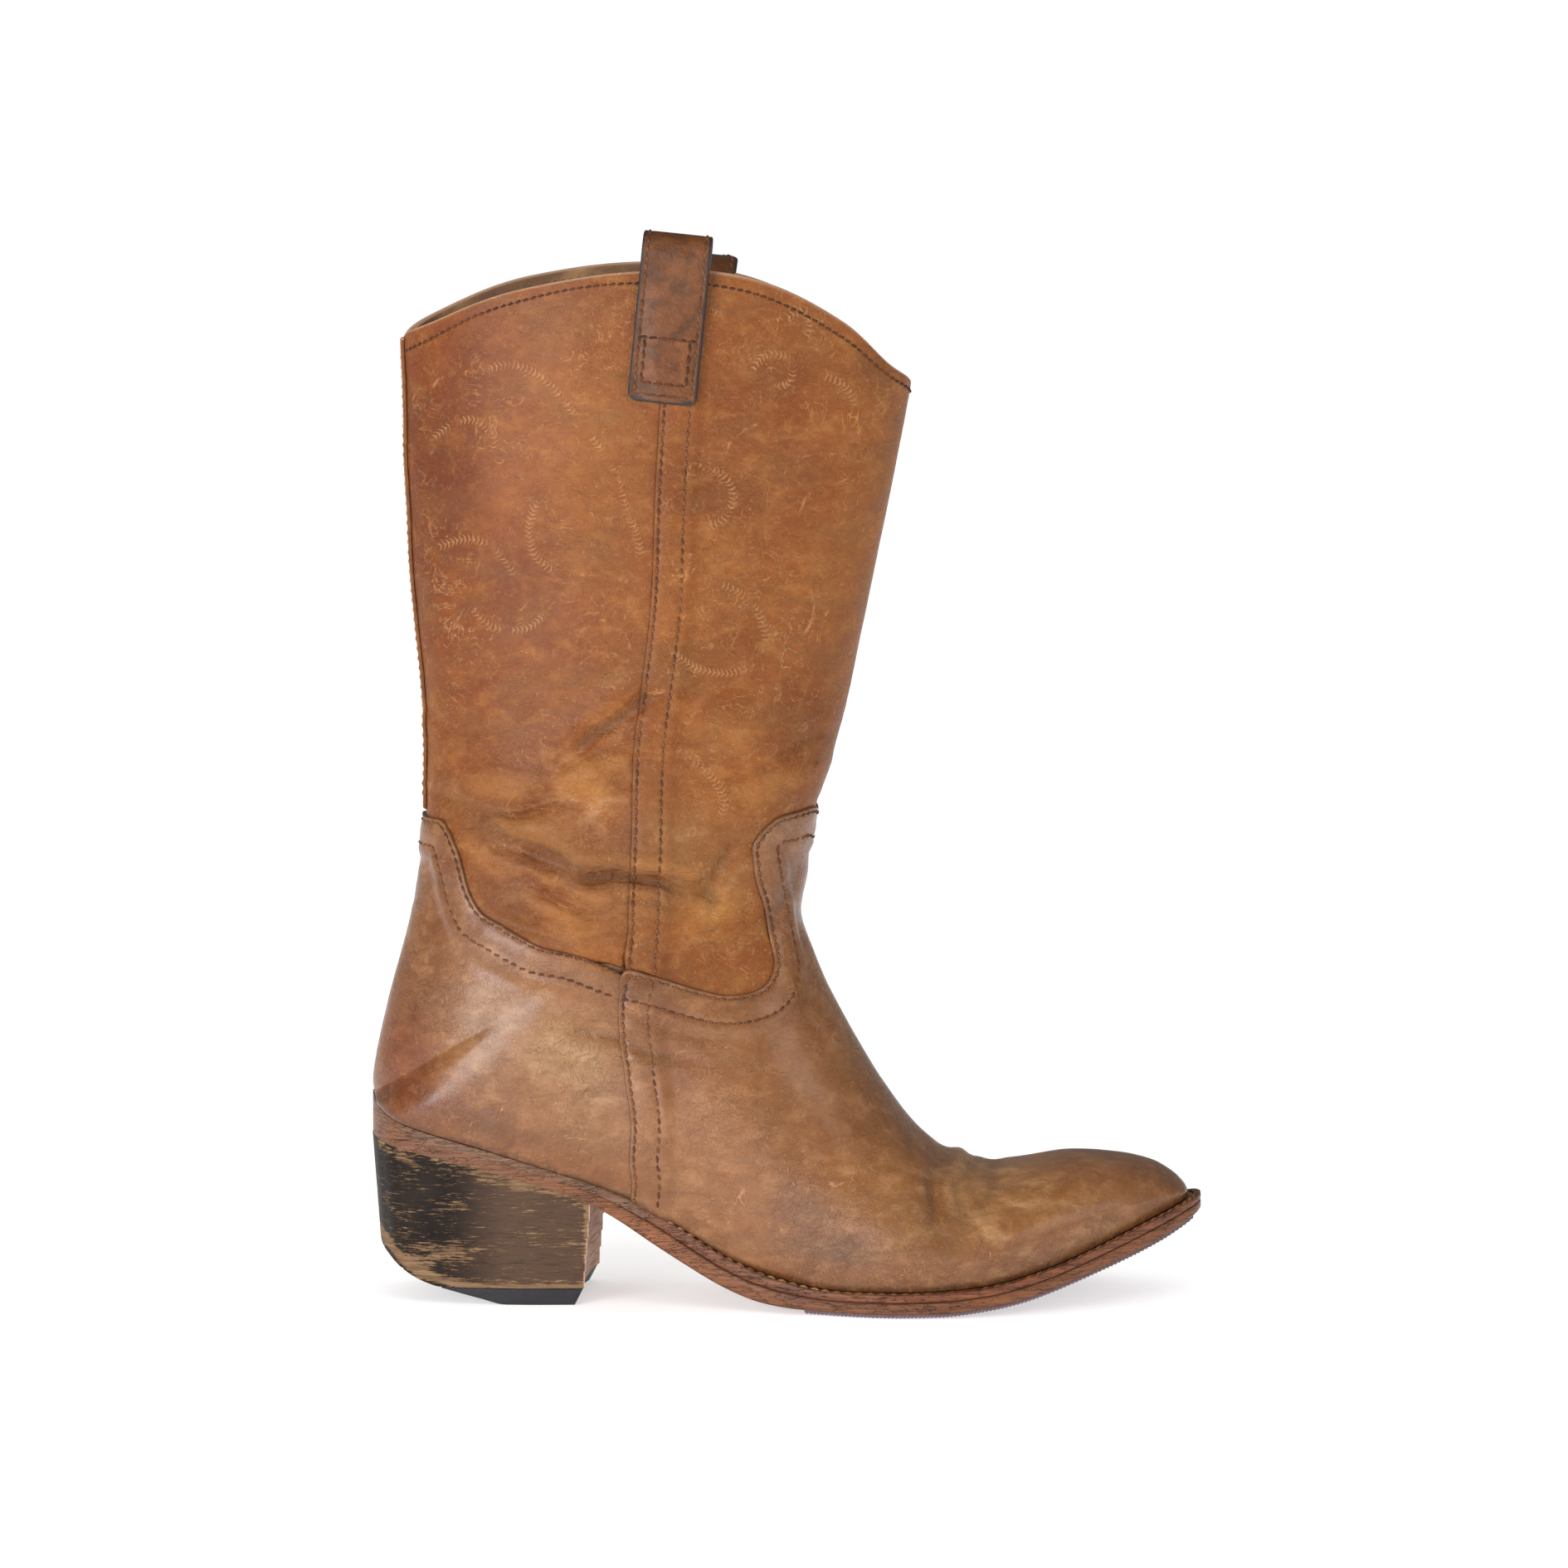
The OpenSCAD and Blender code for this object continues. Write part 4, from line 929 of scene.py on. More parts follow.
FOOT_SPOTS = [
    # The first spot is a painted sheen on the counter; the second is painted shade on the back of the heel,
    # where it turns away from the light.
    (-82, 90, 30, 15, -38, (1.2, 1.46, 1.85)), (-122, 76, 15, 26, 0, (0.72, 0.45, 0.22)),
    # The first two spots are painted sheen on the counter.
    (-66, 84, 10, 8, 0, (1.16, 1.42, 1.7)), (-102, 82, 10, 8, 0, (1.2, 1.4, 1.6)),
    # The first spot is a painted sheen low on the counter.
    (-60, 66, 12, 12, 0, (1.1, 1.24, 1.5)), (-80, 54, 28, 6, -20, (0.74, 0.62, 0.46)),
    (19, 22, 9, 4, 0, (0.6, 0.6, 0.6)), (26, 19, 8, 3, 0, (0.7, 0.7, 0.7)),
    (53, 24, 5, 8, 0, (0.8, 0.8, 0.82)), (44, 29, 9, 6, 0, (0.84, 0.86, 0.86)),
    (62, 33, 36, 14, 0, (1.6, 1.92, 2.15)), (118, 38, 16, 14, 0, (0.9, 0.86, 0.84)),
    (0, 80, 16, 18, 0, (0.86, 0.82, 0.78)), (-28, 82, 12, 12, 0, (0.88, 0.8, 0.7)),
    (6, 34, 13, 8, 0, (0.76, 0.73, 0.68)), (30, 40, 26, 10, 20, (1.04, 1.06, 1.06)),
    (-60, 120, 20, 10, 0, (1.04, 1.04, 1.04)),
]


# ---------------------------------------------------------------- the upper
NEAR_ROWS = [0, 0.15, 0.35, 0.7, 1.1, 1.6, 2.1, 2.7, 3.6, 4.8, 6, 7.2, 8.2, 8.9, 9.4, 9.9, 10.6,
             11.6, 12.6, 13.8, 15]
NEAR_TOP = [0, 0.15, 0.35, 0.7, 1.2, 1.8, 2.4, 3, 3.6, 4.4, 5.4]
NEAR_EDGE = [0, 0.15, 0.35, 0.7, 1.2]


def spread(length, low, high, step):
    """Places from 0 to 1 over a length in millimetres, close together near the ends."""
    low, high = low or [0], high or [0]
    middle = length - low[-1] - high[-1]
    count = max(int(middle / step), 2)
    inner = low[-1] + middle * np.linspace(0, 1, count + 1)[1:-1]
    return np.concatenate([low, inner, length - np.array(high[::-1], float)]) / length


def both_ways(length, near_ends, step):
    return 2 * spread(length, near_ends, near_ends, step) - 1


def flat_height(panel):
    return np.zeros_like(panel.seam)


def add_lining(name, ws, rs, place, depth, replaces):
    panel = Panel(ws, rs, place, lambda q: -(depth(q.r) if callable(depth) else depth), LINING, 0.35)
    panel.mesh(name, [replaces], "lining_leather", LINING_SKIN)


front = Panel(both_ways(185, NEAR_ROWS, 1.25), spread(215, [], NEAR_TOP, 1.3), shaft_front_place,
              seam_lap, lambda q: skived(q.seam))
front.mesh("shaft_front_skin", ["shaft_front"], "shaft_leather", SHAFT, spots(front.p, SHAFT_SPOTS))
back = Panel(-both_ways(200, [], 1.25), spread(215, [], NEAR_TOP, 1.3), shaft_back_place,
             flat_height, LEATHER)
back.mesh("shaft_back_skin", ["shaft_back"], "shaft_leather", SHAFT, spots(back.p, SHAFT_SPOTS))

half = spread(200, [], NEAR_EDGE, 1.4)
vamp_r = np.concatenate([spread(195, NEAR_EDGE, [], 1.6) * VAMP_BODY,
                         mix(VAMP_BODY, VAMP_LAP, np.linspace(0, 1, 26)[1:]),
                         1 - (1 - VAMP_LAP) * np.array([9, 8, 7, 6, 5, 4, 3.2, 2.6, 2.1, 1.6, 1.1, 0.7,
                                                        0.35, 0.15, 0]) / 10])
vamp = Panel(np.concatenate([-half[:0:-1], half]), vamp_r, vamp_place, both_laps,
             lambda q: skived(np.minimum(q.seam, q.yoke)))
vamp.mesh("vamp_skin", ["vamp"], "foot_leather", FOOT, spots(vamp.p, FOOT_SPOTS))
counter = Panel(-both_ways(260, NEAR_EDGE, 1.25),
                spread(100, NEAR_EDGE, NEAR_ROWS, 1.2), counter_place, yoke_lap,
                lambda q: skived(q.yoke))
counter.mesh("counter_skin", ["counter"], "foot_leather", FOOT, spots(counter.p, FOOT_SPOTS))


def back_strip_place(w, r):
    return mix(19.02, top_station(np.ones_like(w)), r), sign(w) * (1 - 0.042 * np.abs(w))


strip = Panel(-both_ways(16, NEAR_TOP, 0.7), spread(160, NEAR_EDGE, NEAR_EDGE, 1.0),
              back_strip_place,
              lambda q: 1.05 - 0.2 * (bump(q.left, 2, 0.6) + bump(q.right, 2, 0.6)) + 0 * q.seam, 1.0, 0.7)
strip.mesh("back_strip_skin", ["back_strip"], "shaft_leather", SHAFT,
           np.broadcast_to([1.12, 1.16, 1.2], strip.p.shape))


def front_lining_place(w, r):
    return mix(13.3 + 0.4 * w * w, top_station(w * SEAM_V), r), w * SEAM_V


def back_lining_place(w, r):
    t, v = shaft_back_place(w, r)
    low = along(COUNTER_TOP, 1 - np.abs(w))
    return mix(low[..., 0] + 0.1, t, smooth(r, -0.5, 1)), sign(w) * np.maximum(np.abs(v), SEAM_V + 0.002)


def vamp_lining_place(w, r):
    q = np.abs(w)
    stations = np.concatenate([[13.3, 13.5], SEAM_LOW[:, 0]])
    places = np.concatenate([[0, 0.3], SEAM_LOW[:, 1]])
    return mix(0.3, graph(places, stations, q) - 0.1, r), w


FOOT_DEPTH = LINING_DEPTH + 1.9
wide = both_ways(190, NEAR_EDGE, 3)
add_lining("shaft_lining_front_skin", wide, spread(210, [], NEAR_TOP, 3), front_lining_place,
           LINING_DEPTH, "shaft_lining_front")
add_lining("shaft_lining_back_skin", -wide, spread(200, [], NEAR_TOP, 3), back_lining_place,
           LINING_DEPTH, "shaft_lining_back")
add_lining("vamp_lining_skin", wide, spread(230, [], NEAR_EDGE, 3), vamp_lining_place,
           lambda r: mix(FOOT_DEPTH, LINING_DEPTH, smooth(r, 0.33, 0.45)), "vamp_lining")
add_lining("heel_lining_skin", -0.97 * wide, 0.97 * spread(100, [], NEAR_EDGE, 3), counter_place,
           lambda r: mix(FOOT_DEPTH, LINING_DEPTH, smooth(r, 0.82, 0.95)), "heel_lining")


# ---------------------------------------------------------------- sole, welt and heel
LEDGE, HEEL_LEDGE, INSET = 4.2, 0.5, 5.0
STACK_TOP, TOP_LIFT_T, LIFTS = 33.0, 5.5, 5
LIFT_T = (STACK_TOP - TOP_LIFT_T) / LIFTS
WEDGE_MIDDLE = 3.0  # height of the wedge's middle over the stack
BREAST, BREAST_LEAN, BREAST_HOLLOW = 11.37, 0.065, 1.6


def split(x):
    return mix(seat(x), tread(x), 0.4)


def ledge(t):
    return mix(LEDGE, HEEL_LEDGE, smooth(t, 9.3, 11.3))


def outline(t, side, grow):
    """The feather line seen from above, grown sideways."""
    h = 0.05
    t = np.asarray(t, float)
    k = np.where(np.asarray(side) < 0, 2, 3)
    pick = lambda rows: np.stack([rows[..., 0], np.where(k == 2, rows[..., 2], rows[..., 3])], -1)
    a, b = pick(at(FEATHER, np.maximum(t - h, 0))), pick(at(FEATHER, np.minimum(t + h, HEEL)))
    d = b - a
    n = unit(np.stack([d[..., 1], -d[..., 0]], -1) * np.asarray(side)[..., None])
    n = np.where((t > HEEL - 0.01)[..., None], [-1.0, 0.0], n)
    return pick(at(FEATHER, t)) + n * np.asarray(grow)[..., None]


def column(xy, z):
    return np.concatenate([xy, np.asarray(z)[..., None]], -1)


# Edge profile of a flat layer: share of its height, and how far it is drawn in, in millimetres
EDGE = [(0, 0.75), (0.04, 0.35), (0.14, 0.1), (0.32, 0), (0.5, 0), (0.68, 0), (0.86, 0.1), (0.96, 0.35),
        (1, 0.75)]


def paired_faces(n, m, first_cap=0):
    """Faces of n pairs of left and right rings with m points each, and the number of each point."""
    index = lambda i, side, j: (i * 2 + side) * m + j
    faces = []
    for i in range(n - 1):
        for j in range(m - 1):
            faces.append([index(i, 0, j), index(i, 0, j + 1), index(i + 1, 0, j + 1), index(i + 1, 0, j)])
            faces.append([index(i, 1, j), index(i + 1, 1, j), index(i + 1, 1, j + 1), index(i, 1, j + 1)])
        for j in (0, m - 1) if i >= first_cap else ():
            faces.append([index(i, 0, j), index(i + 1, 0, j), index(i + 1, 1, j), index(i, 1, j)])
    for j in range(m - 1):
        faces.append([index(n - 1, 0, j), index(n - 1, 0, j + 1), index(n - 1, 1, j + 1), index(n - 1, 1, j)])
    return faces, index


def layer_solid(name, ts, grow, top, bottom, replaces, material, profile=EDGE, ribs=None,
                colour=None):
    """A plate under the foot between two heights, with rounded edges, paired left and right."""
    m, n = len(profile), len(ts)
    points = np.empty((n, 2, m, 3))
    for j, (share, draw) in enumerate(profile):
        for i, side in enumerate((-1, 1)):
            sides = np.full(n, side)
            draw = draw * mix(0.06, 1.0, 1 - smooth(ts, 11.0, 11.6))
            xy = outline(ts, sides, grow(ts) - draw)
            if ribs is not None:
                xy = outline(ts, sides, grow(ts) - draw - ribs(xy[:, 0]))
            points[:, i, j] = column(xy, mix(bottom(xy[:, 0]), top(xy[:, 0]), share))
    faces, index = paired_faces(n, m)
    faces += [[index(0, 0, j), index(0, 1, j), index(0, 1, j + 1), index(0, 0, j + 1)] for j in range(m - 1)]
    flat = points.reshape(-1, 3)
    shares = np.broadcast_to([share for share, _ in profile], (n, 2, m)).ravel()
    borders = np.clip(bump(shares, 1, 0.1) + bump(shares, 0, 0.1), 0, 1)
    attributes = {"groove": borders * smooth(flat[:, 0], -60, -44),
                  "tint": np.ones((len(flat), 3)) if colour is None else colour(flat)}
    return make(name, flat, faces, replaces, material, attributes, True)


def loft(name, rings, replaces, material, attributes):
    """A bar through rings of equal size."""
    n, m = rings.shape[:2]
    faces = [[i * m + j, i * m + (j + 1) % m, (i + 1) * m + (j + 1) % m, (i + 1) * m + j]
             for i in range(n - 1) for j in range(m)]
    faces += [list(range(m - 1, -1, -1)), [(n - 1) * m + j for j in range(m)]]
    return make(name, rings.reshape(-1, 3), faces, replaces, material, attributes, True)


def edge_ring(ts, first_side, profile):
    """Rings of a strip along the outline, out on one side and back on the other.

    The profile gives share of the ledge, offset, share of the height and drop."""
    stations = np.concatenate([ts, ts[::-1]])
    sides = np.repeat([first_side, -first_side], len(ts))
    rings = []
    for share, offset, height, drop in profile:
        xy = outline(stations, sides, ledge(stations) * share + offset)
        rings.append(column(xy, mix(split(xy[:, 0]), seat(xy[:, 0]), height) - drop))
    return np.stack(rings, 1)


# Welt: along the lateral side to the toe and back; its upper face carries a stitch groove
WELT_T = np.concatenate([np.linspace(10.9, 0.6, 260), np.linspace(0.58, 0, 20)])
WELT_PROFILE = [(0, -INSET, 0, 0), (0, -INSET, 1, 0), (0, -0.5, 1, 0), (0.28, 0, 1, 0), (0.4, 0, 1, 0.3),
                (0.52, 0, 1, 0.42), (0.64, 0, 1, 0.3), (0.78, 0, 1, 0), (1, -0.35, 1, 0.05),
                (1, -0.1, 1, 0.3), (1, 0, 0.6, 0), (1, -0.02, 0.3, 0), (1, -0.2, 0.08, 0), (1, -0.6, 0, 0)]
welt_rings = edge_ring(WELT_T, -1, WELT_PROFILE)
welt_groove = np.broadcast_to([0, 0, 0, 0.1, 0.5, 1, 0.5, 0, 0, 0, 0, 0, 0.2, 0.4], welt_rings.shape[:2])


def welt_colour(p):
    """Redder toward the toe."""
    return mix(1.0, np.array([1.08, 0.98, 0.9]), smooth(p[:, 0], 14, 40)[:, None])


loft("welt_strip", welt_rings, ["welt"], WELT,
     {"groove": welt_groove.ravel(), "tint": welt_colour(welt_rings.reshape(-1, 3))})

RAND_T = np.concatenate([np.linspace(10.902, 14.6, 120), np.linspace(14.62, 14.98, 24)])
RAND_PROFILE = [(0, -INSET, 0, 0), (0, -INSET, 1, 0), (0, -0.5, 1, 0), (1, -0.5, 1, 0.05),
                (1, -0.15, 0.92, 0), (1, 0, 0.7, 0), (1, 0, 0.35, 0), (1, 0, 0.1, 0), (1, -0.03, 0, 0)]
rand_rings = edge_ring(RAND_T, 1, RAND_PROFILE)
rand_tint = mix(np.array([1.12, 1.16, 1.18]), np.array([1.12, 0.98, 0.8]),
                smooth(-rand_rings[..., 0].reshape(-1, 1), 108, 130))
loft("heel_rand_strip", rand_rings, ["heel_rand"], RAND,
     {"groove": np.zeros(len(rand_tint)), "tint": rand_tint})


def sole_colour(p):
    """Reddish brown at the waist and forefoot, paler over the heel."""
    heel = (1 - smooth(p[:, 0], -66, -48))[:, None]
    toe = smooth(p[:, 0], 40, 80)[:, None]
    waist = bump(p[:, 0], -38, 22)[:, None]
    colour = mix(1.0, np.array([1.12, 1.25, 1.4]), heel)
    colour = colour * mix(1.0, np.array([1.12, 1.14, 1.1]), toe)
    return colour * mix(1.0, np.array([1.4, 1.4, 1.35]), waist)


SOLE_TS = np.concatenate([np.linspace(0, 0.6, 16), np.linspace(0.65, 14.4, 250),
                          np.linspace(14.45, 14.97, 24)])
layer_solid("outsole_layer", SOLE_TS, ledge, split, tread, ["outsole"], SOLE,
            colour=sole_colour)

RIB = 1.25
rib_wave = lambda x: 0.16 * (1 - np.cos(2 * np.pi * x / RIB))
HALF_EDGE = [(0, 0.5), (0.15, 0.12), (0.4, 0), (0.8, 0), (1, 0.05)]
layer_solid("half_sole_layer", np.linspace(0.9, 9.1, 760), lambda t: np.full_like(t, LEDGE - 1.0), tread,
            lambda x: tread(x) - 1.3 + rib_wave(x) * 0.9, ["half_sole"], HALF_SOLE,
            HALF_EDGE, rib_wave)


# ---------------------------------------------------------------- the heel stack
def heel_grow(z):
    return HEEL_LEDGE - 3.6 * (1 - z / 50)


def worn_under(x):
    """Height to which the rear of the heel is walked off."""
    a, b = (-88 - x) * math.tan(math.radians(14)), (-111 - x) * math.tan(math.radians(42))
    soft = 2.2
    high = np.maximum(a, b) + soft * np.log1p(np.exp(-np.abs(a - b) / soft)) - soft * 0.16
    return np.maximum(high * smooth(-x, 84, 96), 0)


def stack_wear(p):
    """Where the paint is gone: the breast corners, the wedge, the rear and just over the rubber."""
    x, z = p[:, 0], p[:, 2]
    rear = 1 - smooth(x, -130, -84)
    breast = outline(np.array(BREAST), -1, 0.0)[0]
    corner = 0.8 * smooth(x, breast - 3.2, breast - 0.6)
    wedge = 0.3 * smooth(z, tread(x) - 5, tread(x)) * mix(1.3, 0.5, rear)
    patch = 0.36 * np.exp(-(((x + 112) / 15) ** 2) - ((z - 16 - 0.1 * (x + 112)) / 5) ** 2)
    band = 0.66 * bump(z, mix(6, 4 + worn_under(x), rear), 1.0 + 1.2 * rear)
    scuffs = 0.2 * smooth(wave_noise(p * [1, 1, 3], 26, 43, 3), -0.1, 0.6)
    return 0.2 + np.maximum.reduce([corner, wedge, patch, band]) + scuffs


def heel_layer(name, low, high, replaces, material, draw, bevel=0.0):
    """One layer of the heel, worn off from below; high is a height or a function of x."""
    upper = lambda x: high(x) if callable(high) else np.full_like(x, high)
    middle = low + WEDGE_MIDDLE if callable(high) else (low + high) / 2
    reach = np.linspace(-136, -80, 560)
    cut = reach[worn_under(reach) < upper(reach) - 0.35].min()
    breast = BREAST + BREAST_LEAN * (1 - min(middle, STACK_TOP) / STACK_TOP)
    ts = np.concatenate([breast + np.array([0, 0.012, 0.03, 0.06]), np.linspace(breast + 0.12, 14.4, 70),
                         np.linspace(14.47, 14.97, 22)])
    profile = [(0, 2.4), (0.04, 1), (0.12, 0.3), (0.3, 0), (0.7, 0), (0.88, 0.3), (0.96, 1), (1, 2.4)]
    n, m = len(ts), len(profile)
    points = np.empty((n, 2, m, 3))
    for i, side in enumerate((-1, 1)):
        skew = 0.06 * (1 - smooth(ts, breast, breast + 1.2)) * (side > 0)
        for j, (share, pull) in enumerate(profile):
            z = np.full(n, middle, float)
            for _ in range(3):
                xy = outline(ts - skew, np.full(n, side), heel_grow(z) - pull * draw)
                xy[:, 0] = np.maximum(xy[:, 0], cut)
                xy[:, 0] = np.minimum(xy[:, 0], xy[0, 0] - bevel * (TOP_LIFT_T - z))
                x = xy[:, 0]
                z = mix(np.maximum(low, worn_under(x)), upper(x), share)
            points[:, i, j] = column(xy, z)
    across = np.linspace(0, 1, 9)[1:-1]
    breast_rows = mix(points[0, 0], points[0, 1], across[:, None, None])
    breast_rows[..., 0] -= (BREAST_HOLLOW * np.sin(np.pi * across) ** 0.7)[:, None]
    flat = np.concatenate([points.reshape(-1, 3), breast_rows.reshape(-1, 3)])
    base = n * 2 * m
    on_breast = np.zeros(len(flat))
    on_breast[:2 * m] = on_breast[base:] = 1
    behind = int(np.argmax(ts > breast + 0.25))  # the caps start behind the hollow breast
    faces, index = paired_faces(n, m, behind)
    rows = [[index(0, 0, j)] + [base + k * m + j for k in range(len(across))] + [index(0, 1, j)]
            for j in range(m)]
    for row, above in zip(rows, rows[1:]):
        faces += [[row[k], row[k + 1], above[k + 1], above[k]] for k in range(len(across) + 1)]
    for j in (0, m - 1):
        faces.append(rows[j] + [index(i, 1, j) for i in range(1, behind + 1)]
                     + [index(i, 0, j) for i in range(behind, 0, -1)])
    return make(name, flat, faces, replaces, material,
                {"wear": stack_wear(flat), "front": smooth(flat[:, 0], -118, -76), "breast": on_breast}, True)


heel_layer("heel_wedge_block", STACK_TOP, tread, ["heel_wedge"], STACK, 0.03)
for lift_number in range(1, LIFTS + 1):
    low_z = TOP_LIFT_T + (lift_number - 1) * LIFT_T
    heel_layer(f"heel_lift_{lift_number}_block", low_z, low_z + LIFT_T, [f"heel_lift_{lift_number}"],
               STACK, 0.025)
heel_layer("top_lift_block", 0.0, TOP_LIFT_T, ["top_lift"], TOP_LIFT, 0.2, bevel=0.5)


# ---------------------------------------------------------------- pull straps
STRAP_W, STRAP_T, STRAP_BOTTOM, STRAP_CORNER = 22.0, 1.9, 291.0, 3.0
STRAP_X, STRAP_Y, LEAN_Z, LEAN = -34.9, -35.2, 318.0, math.radians(5.8)
# Path of a strap: distance inwards and height; the inner one is slack and leans outwards
PATH_TOP = 54
STRAP_PATH = table("""0 0, 0 14, 0 28, 0 43, -.4 46, -.5 49, .4 52.6, 3.5 54, 6.6 52.6, 7.6 49,
  7.5 46, 7.1 43, 7.1 28, 7.1 14, 7.1 4""")
SLACK_PATH = table("""0 0, 0 14, -.4 25, -2 33, -4.6 39.5, -6.6 45, -7 50, -4.6 53.4, .5 54,
  5 52.4, 7.2 48.5, 7.3 45, 7.1 41, 7.1 28, 7.1 14, 7.1 4""")


def side_surface(side):
    """Dense points of the shaft beside the strap, to lay the strap on."""
    t, v = np.meshgrid(np.linspace(19.2, 22.8, 190), np.linspace(0.3, 0.7, 150))
    p = last(t, side * v)
    return (p + outward(t, side * v) * relief(p, side * v)[..., None]).reshape(-1, 3)


def surface_y(points, x, z):
    """How far out the surface is at places seen from the side: the mean of the nearest points."""
    flat = np.stack([x, z], -1).reshape(-1, 2)
    found = np.empty(len(flat))
    for start in range(0, len(flat), 200):
        part = flat[start:start + 200]
        d = (part[:, None, 0] - points[None, :, 0]) ** 2 + (part[:, None, 1] - points[None, :, 2]) ** 2
        nearest = np.argpartition(d, 6, axis=1)[:, :6]
        found[start:start + 200] = np.abs(points[nearest, 1]).mean(1)
    return found.reshape(x.shape)


class Strap:
    """A folded strip of leather; its lower outer end is sewn to the shaft."""

    def __init__(self, side, path, top, shear):
        line = along(path, np.linspace(0, 1, 400))
        steps = run_along(line)
        self.rows = rows = steps[-1] * spread(steps[-1], NEAR_TOP, NEAR_EDGE, 0.9)
        y, z = (np.interp(rows, steps, line[:, k]) for k in (0, 1))
        y, z = y + STRAP_Y, STRAP_BOTTOM + z * (top - STRAP_T / 2 - STRAP_BOTTOM) / PATH_TOP
        ny, nz = unit(np.stack([-np.gradient(z), np.gradient(y)], -1)).T
        u, s = np.meshgrid(STRAP_W * (spread(STRAP_W, NEAR_EDGE, NEAR_EDGE, 0.9) - 0.5), rows)
        narrow = STRAP_CORNER * (1 - np.sqrt(1 - np.clip(1 - s / STRAP_CORNER, 0, 1) ** 2))
        u = u * (1 - narrow / (STRAP_W / 2))
        sheared = smooth(z, 318, 332)[:, None] * mix(shear[0], shear[1], smooth(s / rows[-1], 0.41, 0.55))
        across, up = u + sheared, z[:, None] - LEAN_Z
        x = across * math.cos(LEAN) + up * math.sin(LEAN) + STRAP_X
        height = -across * math.sin(LEAN) + up * math.cos(LEAN) + LEAN_Z
        outer_leg = s < rows[-1] * 0.45
        on_lap = mix(0.3, LAP, smooth(x - last(21.5, side * SEAM_V)[0], -7, 1))
        below = surface_y(side_surface(side), x, height) + on_lap
        hug = np.where(outer_leg, 1 - smooth(z, 322, 338)[:, None], 0)
        y = mix(y[:, None], -(below + STRAP_T / 2 + 0.12), hug)
        wave = 0.25 * wave_noise(np.stack([x, y * 0, height + 7 * side], -1), 24, 51 + side, 3)
        y = y + np.where(outer_leg, -np.abs(wave) * 0.5, wave) * smooth(s, 2, 20)
        left, right = u + STRAP_W / 2, STRAP_W / 2 - u
        corner = np.hypot(np.maximum(STRAP_CORNER - s, 0),
                          np.maximum(np.abs(u) - STRAP_W / 2 + STRAP_CORNER, 0))
        border = np.minimum.reduce([s, rows[-1] - s, left, right, STRAP_CORNER - corner + 0.4])
        self.border = np.maximum(border, 0)
        half = (STRAP_T / 2 - round_off(self.border, 0.75))[..., None]
        sewn = 0.18 * (bump(left, 1.9, 0.6) + bump(right, 1.9, 0.6))[..., None]
        mirror = np.array([1, -side, 1])
        normal = np.stack([nz * math.sin(LEAN), ny, nz * math.cos(LEAN)], -1)[:, None]
        centre = np.stack([x, y, height], -1)
        self.outer, self.inner = (centre + normal * (half - sewn)) * mirror, (centre - normal * half) * mirror
        self.normal = (normal * mirror)[:, 0]
        self.u, self.s, self.side = u, s, side

    def mesh(self, name, replaces):
        u, s = self.u, self.s
        corners = np.hypot(s, STRAP_W / 2 - np.abs(u)) * 1.3 / 5.5 - 0.2
        paint = np.minimum(self.border, np.where(s < 3.4, np.maximum(s * 0.55, corners), 9))
        # A painted sheen on the upper part of the strap.
        painted_sheen = np.exp(-(((s - 38) / 9) ** 2) - ((u + 2) / 7) ** 2)
        box = smooth(-np.abs(u), -8, -6.5) * smooth(s, 5, 6.5) * smooth(-s, -21.5, -20)
        shade = 1.0
        for share, colour in ((painted_sheen, (1.14, 1.18, 1.24)), (box, (1.14, 1.1, 1.08)),
                              (smooth(-s, -24, -18), (1.1, 1.1, 1.06))):
            shade = shade * mix(1, np.array(colour), share[..., None])
        points = np.concatenate([self.outer.reshape(-1, 3), self.inner.reshape(-1, 3)])
        faces = [face[::self.side] for face in closed_sheet_faces(*u.shape)]
        return make(name, points, faces, replaces, STRAP,
                    {"edge_mm": np.concatenate([paint.ravel(), np.zeros(u.size)]), "tint": doubled(shade)})

    def row(self, points):
        """Points and normals on the outer face along a line of (across, along) places."""
        u, s = fine_line(points, 0.3).T
        i = np.clip(np.searchsorted(self.rows, s) - 1, 0, len(self.rows) - 2)
        f = (s - self.rows[i]) / (self.rows[i + 1] - self.rows[i])
        across = lambda rows, k: np.array([np.interp(place, self.u[j], self.outer[j, :, k])
                                           for place, j in zip(u, rows)])
        result = [mix(across(i, k), across(i + 1, k), f) for k in range(3)]
        return np.stack(result, -1), self.normal[i]


def fine_line(points, step):
    """Straight pieces between points, cut into short steps."""
    points = np.asarray(points, float)
    parts = [points[:1]]
    for a, b in zip(points, points[1:]):
        count = max(int(np.linalg.norm(b - a) / step), 2)
        parts.append(mix(a, b, np.linspace(0, 1, count)[1:, None]))
    return np.concatenate(parts)


near_strap = Strap(-1, STRAP_PATH, 345.0, (0.0, 0.0))
near_strap.mesh("pull_strap_lateral_strip", ["pull_strap_lateral"])
far_strap = Strap(1, SLACK_PATH, 336.0, (-2.2, 6.2))
far_strap.mesh("pull_strap_medial_strip", ["pull_strap_medial"])


